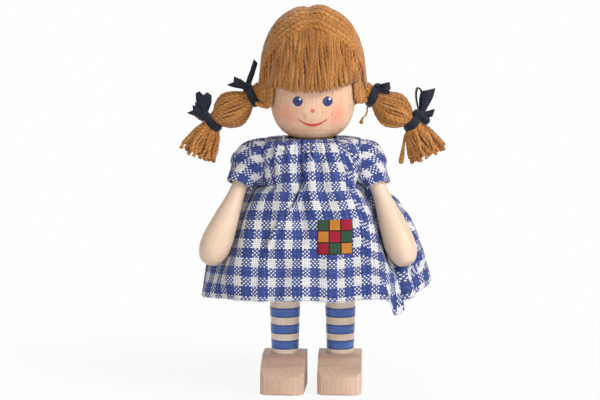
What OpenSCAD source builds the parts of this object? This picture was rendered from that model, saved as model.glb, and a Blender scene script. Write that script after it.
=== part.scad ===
// Wooden peg doll: turned limbs hung on pegs, a head that turns on its neck peg,
// yarn hair tied in two bunches and a gathered smock with set-in sleeves.
// Millimetres. The doll stands on Z = 0 and faces -Y. Its own left hand is on +X.

/* [Head] */
// Width of the turned wooden head
head_w = 26.4; // [25:0.2:28]
// Level of the head's widest ring above the floor
head_mid_z = 92.5; // [92:0.5:93]
// Thickness of the yarn beside the head
hair_side = 3.4; // [3:0.1:4]
// Level of the top of the hair
hair_top_z = 120; // [119:0.5:121]

/* [Body] */
// Level of the shoulder joints
shoulder_z = 71.3; // [71:0.1:72]
// Distance of the right arm's centre from the middle at the shoulder
right_arm_x = 19.6; // [19.2:0.1:19.8]
// Distance of the left arm's centre from the middle at the shoulder
left_arm_x = 17.4; // [17.4:0.1:18]
// Level of the hip joints
hip_z = 37.5; // [37:0.5:38]
// Distance of each leg's centre from the middle
leg_x = 8.7; // [8.7:0.1:9.2]
// Thickness of the board that the body is sawn from
torso_t = 15; // [14:0.5:16]

/* [Limbs] */
// Length of an arm below its peg
arm_len = 35.2; // [34:0.2:36]
// How far the right arm hangs out sideways, in degrees
right_splay = 21.5; // [20:0.5:24]
// How far the left arm hangs out sideways, in degrees
left_splay = 20; // [19:0.5:22]
// How far the arms hang forward, in degrees
arm_forward = 20; // [18:1:24]
// Diameter of a leg at the hip
leg_d = 10; // [9.6:0.1:10]
// Diameter of a leg at the ankle
ankle_d = 8.5; // [8:0.1:9]
// Width of a foot
foot_w = 13.6; // [13:0.2:14]
// Length of a foot
foot_len = 20.4; // [19:0.2:22]
// Height of a foot under the leg
foot_h = 11; // [10:0.2:11.4]
// Height of a foot at the toe
toe_h = 6; // [5:0.2:7]

/* [Pegs] */
// Diameter of the neck peg
neck_peg_d = 6; // [5:0.5:7]
// Diameter of the shoulder peg
shoulder_peg_d = 3; // [2.5:0.1:3]
// Diameter of the hip peg
hip_peg_d = 4; // [3:0.1:4]
// Radial play of a turning fit
running = 0.05; // [0.02:0.01:0.1]

/* [Smock] */
// Level of the smock's hem
hem_z = 31.2; // [29:0.2:32]
// Half the width of the smock at the hem
hem_half_w = 35.6; // [34:0.2:36]
// Half the depth of the smock at the hem
hem_half_d = 24; // [23:0.5:25]
// Thickness of the cloth as a solid
cloth = 0.8; // [0.7:0.1:1]

/* [Bunches] */
// Length of yarn between the two ribbons of a bunch
bunch_len = 15; // [14:0.5:15.5]
// Largest diameter of a bunch
bunch_d = 11.4; // [10:0.2:12]
// How far a bunch droops below level, in degrees
bunch_droop = 33; // [30:1:36]

/* [Hidden] */
RIGHT = -1;
LEFT = 1;
gap = 0.1;
far = 100;
wafer = 0.1;

// Head and hair
chin_drop = 14.2;
crown_rise = 20;
head_r = head_w / 2;
head_seat_z = 78.9;
neck_bore_top_z = 88.3;
neck_collar_r = 4.6;
chin_power = 2.6;
crown_power = 2.2;
hair_r = head_r + hair_side;
fringe_z = 95;
arch_r = 18.5;
face_half_w = 13.2;
hair_front_y = -3;
fringe_tuck = 0.3;
nape_z = 83.5;
nape_r = 13.2;
temple_z = 90;

// Torso, arms and legs
neck_top_z = 76.3;
torso_half_w = 12.7;
boss_x = 14.8;
boss_r = 4.8;
arm_in_x = 15;
arm_ball_r = 3.9;
arm_half_w = 3.1;
cap_t = 1.6;
cap_edge = 0.7;
peg_in_cap = 1.1;
shoulder_cap_r = 2.6;
hip_cap_r = 3.2;
peg_bottom_z = shoulder_z + shoulder_peg_d / 2 + 0.3;
tongue_half_w = 4.2;
torso_bottom_z = hip_z + leg_d / 2 + 0.5;
leg_in_x = 4.35;
leg_out_x = leg_x + 3.9;
leg_socket_z = 10;
tenon_r = 3;
tenon_len = 5.5;
heel_y = 5.2;
right_toe_turn = 4;
left_toe_turn = 2.5;

// Bunches and ribbons
bunch_x = 18.6;
bunch_y = 1;
bunch_z = 91.6;
tie_r = 2.85;
tie_half = 1.6;
tassel_turn = 32;
tassel_len = 11.5;
tassel_r = 6.2;
ribbon_t = 0.9;
ribbon_w = 2.4;
knot_r = 1.5;
knot_half = 1.6;
outer_tie_play = 0.52;

// Sleeves and smock
sleeve_x = 14.9;
sleeve_r = 6.9;
sleeve_len = 8.4;
sleeve_hem_r = 4.3;
dress_side_x = 14.6;
armhole_r = 5.6;
collar_z = 78;
collar_edge_z = 78.35;
yoke_top_z = 77;
yoke_bottom_z = 64.3;
skirt_sway = 1;
sway_levels = [48, 66];
hem_levels = [30, 44];
hem_front_trim = 0.1035;
hem_corner = 5;
hem_corner_a = 56.2;
hem_corner_w = 4.5;
hem_lift = 3.2;
hem_lift_a = 88;
hem_lift_w = 30;
arm_room_r = [[6, 6.7], [12, 5.9], [20, 5.5], [27, 6.4], [36, 6.2]];
arm_room_from = [31, 37.5];
arm_room_to = [66, 69];
seam_angle = 100;
front_cols = 32;
back_cols = 32;
pocket_top_z = 55.2;
pocket_bottom_z = 44.6;
pocket_first_col = 17;
pocket_cols = 4;
pocket_t = 0.7;
cord_r = 6.7;
cord_z = 78;

// A curve through points chosen by hand, with n steps in each span.
function spline(a, b, c, d, t) =
    0.5 * (2 * b + (c - a) * t + (2 * a - 5 * b + 4 * c - d) * t * t
    + (3 * b - a - 3 * c + d) * t * t * t);
function curve(p, n = 4) = concat(
    [for (i = [0:len(p) - 2]) for (k = [0:n - 1])
        spline(p[max(i - 1, 0)], p[i], p[i + 1], p[min(i + 2, len(p) - 1)], k / n)],
    [p[len(p) - 1]]);
function arc(centre, r, from, to, n) =
    [for (i = [0:n]) centre + r * [cos(from + (to - from) * i / n), sin(from + (to - from) * i / n)]];
function smoothstep(a, b, x) =
    let (t = min(1, max(0, (x - a) / (b - a)))) t * t * (3 - 2 * t);
function bump(x) = abs(x) < 1 ? pow(1 - x * x, 2) : 0;

// Solids that several pieces share
module turned(profile, fn = 64) {
    rotate_extrude($fn = fn) polygon(profile);
}
module crosswise(x0, x1, r, z) {
    translate([min(x0, x1), 0, z]) rotate([0, 90, 0]) cylinder(h = abs(x1 - x0), r = r, $fn = 48);
}
module slab_x(profile, half_w) {
    translate([-half_w, 0, 0]) rotate([90, 0, 90]) linear_extrude(2 * half_w) polygon(profile);
}

// The head is an egg of revolution, squarer at the chin than at the crown.
function egg_r(z, grow = 0) =
    let (low = z < head_mid_z, power = low ? chin_power : crown_power,
        reach = (low ? chin_drop : crown_rise) + grow,
        t = min(1, abs(z - head_mid_z) / reach))
    (head_r + grow) * pow(1 - pow(t, power), 1 / power);
function egg_profile(grow = 0, n = 10) = concat(
    [for (i = [0:n]) let (z = head_mid_z - (chin_drop + grow) * cos(90 * i / n)) [egg_r(z, grow), z]],
    [for (i = [1:n]) let (z = head_mid_z + (crown_rise + grow) * sin(90 * i / n)) [egg_r(z, grow), z]]);

module head() {
    color("burlywood") difference() {
        turned(egg_profile());
        translate([-far, -far, head_seat_z - far]) cube([2 * far, 2 * far, far]);
        translate([0, 0, head_seat_z - 1])
            cylinder(h = neck_bore_top_z - head_seat_z + 1, r = neck_peg_d / 2 + running, $fn = 48);
    }
}

// Yarn laid crosswise over the crown, open over the forehead.
function dome_r(z) =
    let (t = max(0, z - head_mid_z) / (hair_top_z - head_mid_z))
    hair_r * pow(1 - pow(min(1, t), 2.5), 1 / 2.5);
function dome_profile(n = 9) = concat(
    [[0, nape_z], [nape_r, nape_z], [nape_r + 1.9, nape_z + 3], [hair_r - 0.5, head_mid_z - 2]],
    [for (i = [1:n]) let (z = head_mid_z + (hair_top_z - head_mid_z) * sin(90 * i / n)) [dome_r(z), z]]);
function cap_shell(n = 9) = concat(
    [for (i = [1:n + 3]) dome_profile(n)[i]],
    [for (i = [0:n - 1]) let (z = head_mid_z + (crown_rise + gap) * cos(90 * i / n)) [egg_r(z, gap), z]],
    [for (z = [head_mid_z, head_mid_z - 3, head_mid_z - 6, nape_z]) [egg_r(z, gap), z]]);
function fringe_shell(n = 9) = concat(
    [for (i = [0:n]) let (z = head_mid_z + (hair_top_z - head_mid_z - fringe_tuck) * sin(90 * i / n))
        [max(0, dome_r(z) - fringe_tuck), z]],
    [for (i = [0:n]) let (z = head_mid_z + (crown_rise + gap) * cos(90 * i / n)) [egg_r(z, gap), z]]);
module forehead_opening(r, low) {
    translate([0, hair_front_y - (arch_r - r), 0]) rotate([90, 0, 0]) linear_extrude(far)
        polygon(concat(low, arc([0, fringe_z], r, 0, 180, 24)));
}
module hair_cap() {
    color("peru") difference() {
        turned(cap_shell());
        forehead_opening(arch_r, [[-face_half_w, fringe_z], [-face_half_w, 0], [face_half_w, 0],
            [face_half_w, fringe_z]]);
        slab_x([[-far, 0], [hair_r + 3, 0], [hair_r + 3, nape_z - 3], [10, nape_z], [hair_front_y, temple_z],
            [-far, temple_z]], far / 2);
    }
}
module fringe() {
    color("peru") intersection() {
        turned(fringe_shell());
        forehead_opening(arch_r - gap, []);
    }
}

// A bunch runs out and down from the side of the head to its outer ribbon; the tassel hangs below.
module bunch_frame(side) {
    translate([side * bunch_x, bunch_y, bunch_z]) mirror([side < 0 ? 1 : 0, 0, 0])
        rotate([0, 90 + bunch_droop, 0]) children();
}
module tassel_frame(side) {
    bunch_frame(side) translate([0, 0, bunch_len]) rotate([0, tassel_turn, 0]) children();
}
module outer_tie_frame(side) {
    bunch_frame(side) translate([0, 0, bunch_len]) rotate([0, tassel_turn / 2, 0]) children();
}
module bunch(side) {
    r = bunch_d / 2;
    profile = curve([[3.3, -4], [tie_r, -tie_half], [tie_r, tie_half], [r * 0.8, 4.4], [r, 7.4],
        [r * 0.76, 10.2], [tie_r, bunch_len - 3], [tie_r, bunch_len + 2]]);
    color("peru") difference() {
        bunch_frame(side) turned(concat([[0, -4]], profile, [[0, bunch_len + 2]]), 48);
        outer_tie_frame(side) translate([-far, -far, -gap / 2]) cube(2 * far);
        hair_room();
    }
}
// The space that the hair on the crown takes up.
module hair_room() {
    turned([for (p = dome_profile()) [max(0, p[0] + (p[0] > 0 ? gap : 0)), p[1]]]);
}
module tassel(side) {
    profile = curve([[tie_r - 0.15, -2], [tie_r - 0.15, 2.7], [4.1, 4.6], [tassel_r - 0.4, 8.4],
        [tassel_r, tassel_len]]);
    color("peru") difference() {
        tassel_frame(side) turned(concat([[0, -2]], profile, [[0, tassel_len - 1]]), 48);
        outer_tie_frame(side) translate([-far, -far, -2 * far + gap / 2]) cube(2 * far);
    }
}
function teardrop(len, r) = concat([[0, 0]], arc([len - r, 0], r, -105, 105, 10));
module loop(len, r) {
    translate([0, ribbon_w / 2, 0]) rotate([90, 0, 0]) linear_extrude(ribbon_w) difference() {
        polygon(teardrop(len, r));
        translate([1.6, 0]) polygon(teardrop(len - 2.3, r - ribbon_t));
    }
}
// A ribbon is wound round the yarn and knotted on top; its loops lean over by an angle and spread apart.
module ribbon(inner_r, lean, loop_len, loop_r, spread) {
    color("midnightblue") difference() {
        union() {
            translate([0, 0, -tie_half]) cylinder(h = 2 * tie_half, r = inner_r + ribbon_t, $fn = 48);
            translate([inner_r + ribbon_t, knot_half, 0]) rotate([90, 0, 0])
                cylinder(h = 2 * knot_half, r = knot_r, $fn = 32);
            for (a = [-spread, spread])
                translate([inner_r + ribbon_t / 2, 0, 0]) rotate([0, lean + a, 0]) loop(loop_len, loop_r);
        }
        translate([0, 0, -far / 2]) cylinder(h = far, r = inner_r, $fn = 48);
    }
}
module inner_ribbon(side) {
    difference() {
        bunch_frame(side) rotate([0, 0, 180]) ribbon(tie_r + gap, 23, 6.4, 1.9, 24);
        hair_room();
    }
}
module outer_ribbon(side) {
    outer_tie_frame(side) rotate([0, 0, 180]) ribbon(tie_r + outer_tie_play, 27, 9.4, 2.4, 19);
}

// The body is sawn from a board, with a tongue between the legs and round bosses for the arms.
module torso() {
    front = concat(
        [[tongue_half_w, torso_bottom_z]], arc([9, torso_bottom_z + 3], 3, -90, 0, 5),
        curve([[12, 47], [10.2, 56], [11.4, 64], [torso_half_w, 69]], 4),
        arc([torso_half_w - 4, neck_top_z - 4], 4, 0, 90, 6));
    outline = concat(front, [for (i = [len(front) - 1:-1:0]) [-front[i][0], front[i][1]]]);
    half_t = torso_t / 2;
    side = concat(
        [[half_t - 3, torso_bottom_z - 1], [half_t - 1.5, torso_bottom_z]],
        curve([[half_t, 49], [half_t - 0.6, 57], [half_t, 66]], 3),
        arc([half_t - 3, neck_top_z - 3], 3, 0, 90, 5));
    side_outline = concat(side, [for (i = [len(side) - 1:-1:0]) [-side[i][0], side[i][1]]]);
    color("burlywood") difference() {
        union() {
            intersection() {
                translate([0, half_t + 1, 0]) rotate([90, 0, 0]) linear_extrude(torso_t + 2) polygon(outline);
                slab_x(side_outline, far / 2);
            }
            slab_x(concat(arc([0, hip_z], leg_d / 2, 180, 360, 16),
                [[leg_d / 2, torso_bottom_z + 1], [-leg_d / 2, torso_bottom_z + 1]]), tongue_half_w);
            crosswise(-boss_x, boss_x, boss_r, shoulder_z);
            translate([0, 0, neck_top_z - 1])
                cylinder(h = head_seat_z - gap - neck_top_z + 1, r = neck_collar_r, $fn = 48);
        }
        translate([0, 0, peg_bottom_z]) cylinder(h = far, r = neck_peg_d / 2, $fn = 48);
        crosswise(-far, far, shoulder_peg_d / 2, shoulder_z);
        crosswise(-far, far, hip_peg_d / 2, hip_z);
    }
}
module neck_peg() {
    color("tan") translate([0, 0, peg_bottom_z])
        cylinder(h = neck_bore_top_z - gap - peg_bottom_z, r = neck_peg_d / 2, $fn = 48);
}
module shoulder_peg() {
    color("tan") crosswise(-arm_out(RIGHT) - peg_in_cap, arm_out(LEFT) + peg_in_cap,
        shoulder_peg_d / 2, shoulder_z);
}
module hip_peg() {
    color("tan") crosswise(-leg_out_x - peg_in_cap, leg_out_x + peg_in_cap, hip_peg_d / 2, hip_z);
}
module peg_cap(side, x, z, r, bore_r) {
    color("tan") translate([side * x, 0, z]) rotate([0, side * 90, 0]) difference() {
        turned([[0, 0], [r, 0], [r, cap_t - cap_edge], [r - cap_edge, cap_t], [0, cap_t]], 48);
        translate([0, 0, -1]) cylinder(h = peg_in_cap + 1, r = bore_r, $fn = 48);
    }
}
module shoulder_cap(side) {
    peg_cap(side, arm_out(side) + gap, shoulder_z, shoulder_cap_r, shoulder_peg_d / 2);
}
module hip_cap(side) {
    peg_cap(side, leg_out_x + gap, hip_z, hip_cap_r, hip_peg_d / 2);
}

// An arm is a turned club whose round head sits on the shoulder peg.
function splay(side) = side < 0 ? right_splay : left_splay;
function arm_x(side) = side < 0 ? right_arm_x : left_arm_x;
function arm_out(side) = arm_x(side) + arm_half_w;
module arm_frame(side) {
    translate([side * arm_x(side), 0, shoulder_z]) rotate([-arm_forward, 0, 0])
        rotate([0, side * (180 - splay(side)), 0]) children();
}
module arm(side) {
    profile = curve([[0, -arm_ball_r], [2.9, -2.6], [3.7, 0], [3.0, 4.5], [2.5, 9], [2.9, 13.5],
        [4.0, 20], [4.8, 26.5], [4.5, 31], [2.7, 34.3], [0, arm_len]]);
    color("burlywood") difference() {
        union() {
            arm_frame(side) turned([for (p = profile) [max(0, p[0]), p[1]]]);
            crosswise(side * arm_in_x, side * arm_x(side), 3.4, shoulder_z);
        }
        crosswise(0, side * far, shoulder_peg_d / 2 + running, shoulder_z);
        crosswise(side * arm_out(side), side * (arm_out(side) + 4), 5, shoulder_z);
        crosswise(side * 10, side * arm_in_x, 8, shoulder_z);
    }
}

// A leg is a turned taper: flat-sided round its peg, with a tenon in the foot.
stripe_z = [[12.3, 15.2], [17.2, 20.2], [22.5, 25.5], [27.6, 30.5]];
function leg_r(z) = lookup(z, [[foot_h, ankle_d / 2], [hem_z, leg_d / 2]]);
module leg_slice(z0, z1) {
    translate([0, 0, z0]) cylinder(h = z1 - z0, r1 = leg_r(z0), r2 = leg_r(z1), $fn = 64);
}
module leg(side) {
    top_z = hip_z + leg_d / 2;
    intersection() {
        difference() {
            translate([side * leg_x, 0, 0]) {
                color("burlywood") leg_slice(leg_socket_z, top_z);
                color("burlywood") translate([0, 0, leg_socket_z - tenon_len])
                    cylinder(h = tenon_len + 1, r = tenon_r, $fn = 48);
                color("royalblue") for (band = stripe_z) leg_slice(band[0], band[1]);
            }
            crosswise(0, side * far, hip_peg_d / 2 + running, hip_z);
            for (x = [side * (leg_in_x - 10), side * (leg_out_x + 10)])
                translate([x - 10, -10, hip_z - leg_d / 2 - 1]) cube(20);
        }
        union() {
            translate([-far, -far, 0]) cube([2 * far, 2 * far, hip_z]);
            crosswise(-far, far, leg_d / 2, hip_z);
        }
    }
}

// A foot is a sawn block with a sloping toe and a bored socket.
module foot(side) {
    turn = side < 0 ? right_toe_turn : left_toe_turn;
    toe_y = heel_y - foot_len;
    half_w = foot_w / 2;
    toe_bow = 1.4;
    edge = 0.7;
    profile = [[heel_y - edge, 0], [heel_y, edge], [heel_y, foot_h - edge], [heel_y - edge, foot_h],
        [-4.6, foot_h], [toe_y + edge, toe_h], [toe_y, toe_h - edge], [toe_y, edge], [toe_y + edge, 0]];
    corner = 1.2;
    bow = [for (x = [-half_w + corner:(foot_w - 2 * corner) / 8:half_w - corner + 0.01])
        [x, toe_y + toe_bow * pow(x / half_w, 2)]];
    plan = concat([[half_w, toe_y + toe_bow + corner]],
        arc([half_w - corner, heel_y - corner], corner, 0, 90, 4),
        arc([corner - half_w, heel_y - corner], corner, 90, 180, 4),
        [[-half_w, toe_y + toe_bow + corner]], bow);
    color("burlywood") translate([side * leg_x, 0, 0]) rotate([0, 0, -turn]) difference() {
        intersection() {
            slab_x(profile, half_w + 1);
            linear_extrude(foot_h + 1) polygon(plan);
        }
        translate([0, 0, leg_socket_z]) cylinder(h = 5, r = ankle_d / 2 + gap, $fn = 64);
        translate([0, 0, leg_socket_z - tenon_len]) cylinder(h = tenon_len + 1, r = tenon_r, $fn = 48);
    }
}

// A sleeve is a cap round the shoulder axis that runs into a short tube round the arm.
module sleeve_skin(side, shrink) {
    cap_discs = [[-0.9, sleeve_r], [1.8, 6.1], [4.3, 4.7], [5.9, 2.9]];
    hull() {
        crosswise_disc(side * (sleeve_x - 3 * shrink), sleeve_r - shrink);
        for (d = cap_discs)
            crosswise_disc(side * (arm_x(side) + d[0] - shrink), d[1] - shrink);
        arm_frame(side) translate([0, 0, sleeve_len + 3 * shrink])
            cylinder(h = wafer, r = sleeve_hem_r - shrink, $fn = 32);
    }
}
module crosswise_disc(x, r) {
    translate([x, 0, shoulder_z]) rotate([0, x > 0 ? 90 : -90, 0]) cylinder(h = wafer, r = r, $fn = 32);
}
module sleeve(side) {
    color("cornflowerblue") difference() {
        sleeve_skin(side, 0);
        sleeve_skin(side, cloth);
    }
}

// The smock hangs from its gathered neck. Each row gives the level, the half width,
// the front depth and the back depth, and how far the row's middle lies behind the neck. The front
// hem is trimmed so that front and back reach equally far.
dress_rows = [
    [78.4, 8.3, 8.3, 8.3, 0],
    [78.3, 14.2, 8.9, 8.7, 0],
    [76.8, dress_side_x, 10.6, 10.2, 0],
    [74.4, dress_side_x, 11.4, 10.8, 0],
    [71.3, dress_side_x, 12, 11.2, 0],
    [68, dress_side_x, 12.6, 11.8, 0],
    [64.4, dress_side_x, 13.4, 12.6, 0.6],
    [62.3, 20.6, 16.2, 13, 3.2],
    [59.5, 25.9, 16.6, 13.8, 3.2],
    [pocket_top_z, 29, 16.9, 15.2, 2.6],
    [49.8, 31.5, 17.4, 16.8, 1.9],
    [pocket_bottom_z, 33.2, 18.6, 18.6, 1.1],
    [40, 34.2, 20, 20.4, 0.5],
    [36, 34.9, 21.6, 21.9, 0.1],
    [33, 35.3, 22.8, 23, 0],
    [hem_z, hem_half_w, hem_half_d - hem_front_trim, hem_half_d, 0]
];
// Creases: angle round from the front, width, depth, and the levels between which it runs.
creases = [
    [-16, 9, 1.7, 50, 80], [12, 9, 1.2, 58, 80], [-48, 10, 1.0, 44, 72], [44, 10, 1.1, 48, 74],
    [-30, 12, 1.4, 20, 46], [4, 12, 1.3, 20, 46], [34, 12, 1.5, 20, 50], [66, 10, 2.4, 20, 36],
    [-66, 10, 1.6, 20, 35], [150, 12, 1.4, 20, 70], [178, 11, 1.3, 45, 80], [-150, 12, 1.5, 20, 70],
    [-176, 12, 1.3, 20, 46], [122, 11, 1.3, 20, 55], [-122, 11, 1.3, 20, 55]
];
function turn_gap(a, b) = let (d = abs(a - b)) min(d, 360 - d);
function crease(a, z) = [for (c = creases)
    c[2] * bump(turn_gap(a, c[0]) / (1.6 * c[1]))
    * smoothstep(c[3] - 6, c[3] + 4, z) * (1 - smoothstep(c[4] - 5, c[4] + 1, z))];
function sum(v, i = 0) = i < len(v) ? v[i] + sum(v, i + 1) : 0;
function sway(z) = skirt_sway * (1 - smoothstep(sway_levels[0], sway_levels[1], z));
// The cloth stands clear of the arm that hangs beside it.
function arm_room(a, z, reach, mid) =
    let (side = a < 0 ? RIGHT : LEFT, fall = cos(splay(side)),
        s = (shoulder_z - z) / (fall * cos(arm_forward)),
        x = arm_x(side) + s * sin(splay(side)) - side * sway(z), y = -s * fall * sin(arm_forward) - mid,
        r = lookup(s, arm_room_r),
        along = x * sin(abs(a)) - y * cos(a), off = abs(x * cos(a) + y * sin(abs(a))),
        hold = smoothstep(arm_room_from[0], arm_room_from[1], z)
            * (1 - smoothstep(arm_room_to[0], arm_room_to[1], z)))
    along > 0 ? hold * max(0, reach - (norm([x, y]) - r)) * bump(off / (2.2 * r)) : 0;
function armhole_w(z, depth) =
    let (chord = sqrt(max(0, sleeve_r * sleeve_r - pow(z - shoulder_z, 2))))
    dress_side_x / pow(1 - pow(chord / depth, 3), 1 / 3);
function dress_reach(a, row) =
    let (z = row[0], in_yoke = z > yoke_bottom_z && z < yoke_top_z, power = in_yoke ? 3 : 2.3,
        depth = cos(a) > 0 ? row[2] : row[3],
        w = in_yoke ? armhole_w(z, depth) : row[1],
        oval = pow(pow(abs(sin(a)) / w, power) + pow(abs(cos(a)) / depth, power), -1 / power),
        open = oval - arm_room(a, z, oval, row[4]) - sum(crease(a, z)))
    z > yoke_bottom_z ? min(open, dress_side_x / max(0.01, abs(sin(a)))) : open;
function dress_point(a, row, inset) =
    let (z = row[0], drop = z > collar_z ? inset : 0, grow = z > collar_edge_z ? 0 : inset,
        r = dress_reach(a, row) - grow, low = 1 - smoothstep(hem_levels[0], hem_levels[1], z),
        corner = hem_corner * exp(-pow((a - hem_corner_a) / hem_corner_w, 2)),
        lift = hem_lift * bump((a - hem_lift_a) / hem_lift_w))
    [r * sin(a) + sway(z), row[4] - r * cos(a), z - drop + low * (lift - corner)];
// A skin of cloth over rows and columns, as a closed solid of quads split in two.
module skin(rows, from, to, steps, out, back) {
    count = len(rows);
    cols = steps + 1;
    points = [for (inset = [-out, back]) for (row = rows) for (i = [0:steps])
        dress_point(from + (to - from) * i / steps, row, inset)];
    function at(side, row, col) = side * count * cols + row * cols + col;
    function quad(a, b, c, d) = [[a, b, c], [a, c, d]];
    faces = concat(
        [for (r = [0:count - 2]) for (c = [0:steps - 1])
            each quad(at(0, r, c), at(0, r, c + 1), at(0, r + 1, c + 1), at(0, r + 1, c))],
        [for (r = [0:count - 2]) for (c = [0:steps - 1])
            each quad(at(1, r, c), at(1, r + 1, c), at(1, r + 1, c + 1), at(1, r, c + 1))],
        [for (c = [0:steps - 1]) each quad(at(0, 0, c), at(1, 0, c), at(1, 0, c + 1), at(0, 0, c + 1))],
        [for (c = [0:steps - 1]) each quad(at(0, count - 1, c), at(0, count - 1, c + 1),
            at(1, count - 1, c + 1), at(1, count - 1, c))],
        [for (r = [0:count - 2]) each quad(at(0, r, 0), at(0, r + 1, 0), at(1, r + 1, 0), at(1, r, 0))],
        [for (r = [0:count - 2])
            each quad(at(0, r, steps), at(1, r, steps), at(1, r + 1, steps), at(0, r + 1, steps))]);
    polyhedron(points, faces, 6);
}
module panel(from, to, steps) {
    difference() {
        skin(dress_rows, from, to, steps, 0, cloth);
        crosswise(-far, far, armhole_r, shoulder_z);
    }
}
module dress_front() {
    color("cornflowerblue") panel(-seam_angle, seam_angle, front_cols);
}
module dress_back() {
    color("cornflowerblue") panel(seam_angle, 360 - seam_angle, back_cols);
}
module pocket() {
    rows = [for (row = dress_rows) if (row[0] <= pocket_top_z && row[0] >= pocket_bottom_z) row];
    col = 2 * seam_angle / front_cols;
    from = pocket_first_col * col - seam_angle;
    color("firebrick") skin(rows, from, from + pocket_cols * col, pocket_cols, gap + pocket_t, -gap);
}
module neck_cord() {
    color("aliceblue") translate([0, 0, cord_z]) rotate_extrude($fn = 64) translate([cord_r, 0])
        circle(r = 0.4, $fn = 16);
}

torso();
neck_peg();
shoulder_peg();
hip_peg();
shoulder_cap(RIGHT);  // right_shoulder_cap
shoulder_cap(LEFT);  // left_shoulder_cap
hip_cap(RIGHT);  // right_hip_cap
hip_cap(LEFT);  // left_hip_cap
head();
hair_cap();
fringe();
bunch(RIGHT);  // right_bunch
bunch(LEFT);  // left_bunch
tassel(RIGHT);  // right_tassel
tassel(LEFT);  // left_tassel
inner_ribbon(RIGHT);  // right_inner_ribbon
inner_ribbon(LEFT);  // left_inner_ribbon
outer_ribbon(RIGHT);  // right_outer_ribbon
outer_ribbon(LEFT);  // left_outer_ribbon
arm(RIGHT);  // right_arm
arm(LEFT);  // left_arm
sleeve(RIGHT);  // right_sleeve
sleeve(LEFT);  // left_sleeve
leg(RIGHT);  // right_leg
leg(LEFT);  // left_leg
foot(RIGHT);  // right_foot
foot(LEFT);  // left_foot
dress_front();
dress_back();
pocket();
neck_cord();
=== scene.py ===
import math
import random

import bpy
import numpy as np
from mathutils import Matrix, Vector, noise

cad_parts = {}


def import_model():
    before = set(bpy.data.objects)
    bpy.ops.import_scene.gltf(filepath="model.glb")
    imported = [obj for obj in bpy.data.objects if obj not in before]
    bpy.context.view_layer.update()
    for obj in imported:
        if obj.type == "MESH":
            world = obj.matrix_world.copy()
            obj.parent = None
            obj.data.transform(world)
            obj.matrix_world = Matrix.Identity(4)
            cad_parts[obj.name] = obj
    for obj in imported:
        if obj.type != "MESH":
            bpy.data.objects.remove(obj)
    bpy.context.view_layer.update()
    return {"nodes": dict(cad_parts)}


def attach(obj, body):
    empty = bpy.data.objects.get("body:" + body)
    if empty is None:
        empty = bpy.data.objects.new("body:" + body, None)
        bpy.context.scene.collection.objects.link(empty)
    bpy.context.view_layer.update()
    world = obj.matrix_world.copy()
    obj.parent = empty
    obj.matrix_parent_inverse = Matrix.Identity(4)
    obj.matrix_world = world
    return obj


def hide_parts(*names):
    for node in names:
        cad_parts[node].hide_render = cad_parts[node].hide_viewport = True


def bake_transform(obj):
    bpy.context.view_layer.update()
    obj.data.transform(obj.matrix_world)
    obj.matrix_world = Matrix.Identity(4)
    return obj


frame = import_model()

MM = 0.001
TURN = 2 * math.pi
SIDES = {"right": -1, "left": 1}
FRONT = np.array([0, -1.0, 0])
UP = np.array([0, 0, 1.0])
rng = random.Random(20)
draw = rng.uniform

# Driving sizes in millimetres, the same as the solids have.
HEAD_R = 13.2
HEAD_MID_Z = 92.5
CHIN_DROP = 14.2
CROWN_RISE = 20
HAIR_R = 16.6
HAIR_TOP_Z = 120
NAPE_Z = 83.5
FRINGE_Z = 95
SHOULDER_Z = 71.3
ARM_X = {-1: 19.6, 1: 17.4}
ARM_FORWARD = math.radians(20)
SPLAY = {-1: math.radians(21.5), 1: math.radians(20)}
ARCH_R = 18.5
BUNCH_START = np.array([18.6, 1, 91.6])
BUNCH_LEN = 15
BUNCH_DROOP = math.radians(33)
TASSEL_TURN = math.radians(32)
TASSEL_LEN = 11.5
BUNCH_R = 5.7
TIE_R = 2.85
SLEEVE_X = 14.6
SLEEVE_R = 6.9
SLEEVE_LEN = 7.8
ARMHOLE_R = 6.3
YOKE_LOW_Z, YOKE_TOP_Z = 64.3, 77
SLEEVE_HEM_R = {-1: 4.0, 1: 3.8}
HEM_Z = 31.2
SKIRT_SWAY = 1.0
HEM_CORNER = 5
HEM_CORNER_A = 52
HEM_LIFT = 2.6
YARN_R = 0.46
CLOTH = 0.35
RIBBON_THICK = 0.3
WOUND_THICK = 0.42
RIBBON_RIB = 0.42
# Widths of the gingham's and the print's threads, and how many of each colour lie side by side.
THREAD = 0.6
PRINT_THREAD = 0.32
WARP_BLUE, WARP_WHITE = 5, 4
WEFT_BLUE, WEFT_WHITE = 5, 5


def srgb(r, g, b):
    """A colour given in 0 to 255, as linear values with an alpha."""
    values = [c / 255 for c in (r, g, b)]
    linear = [c / 12.92 if c <= 0.04045 else ((c + 0.055) / 1.055) ** 2.4 for c in values]
    return (*linear, 1)


def ease(a, b, x):
    """Rises smoothly from 0 at a to 1 at b."""
    t = np.clip((x - a) / (b - a), 0, 1)
    return t * t * (3 - 2 * t)


def bump(x):
    """One in the middle, falling smoothly to 0 at 1 on both sides."""
    return np.where(np.abs(x) < 1, (1 - np.clip(x * x, 0, 1)) ** 2, 0)


def bell(x, middle, width):
    return np.exp(-((x - middle) / width) ** 2)


def unit(v):
    """Vectors brought to a length of one."""
    return v / np.maximum(np.linalg.norm(v, axis=-1, keepdims=True), 1e-12)


def lengths_along(line):
    """How far along a line of points each of them is."""
    return np.concatenate([[0], np.cumsum(np.linalg.norm(np.diff(line, axis=0), axis=1))])


def point_at(distance, lengths, line):
    return np.array([np.interp(distance, lengths, line[:, k]) for k in range(3)])


def circle(first, second, angle, r):
    """Points round a middle, from the first direction to the second."""
    return np.outer(np.cos(angle) * r, first) + np.outer(np.sin(angle) * r, second)


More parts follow.
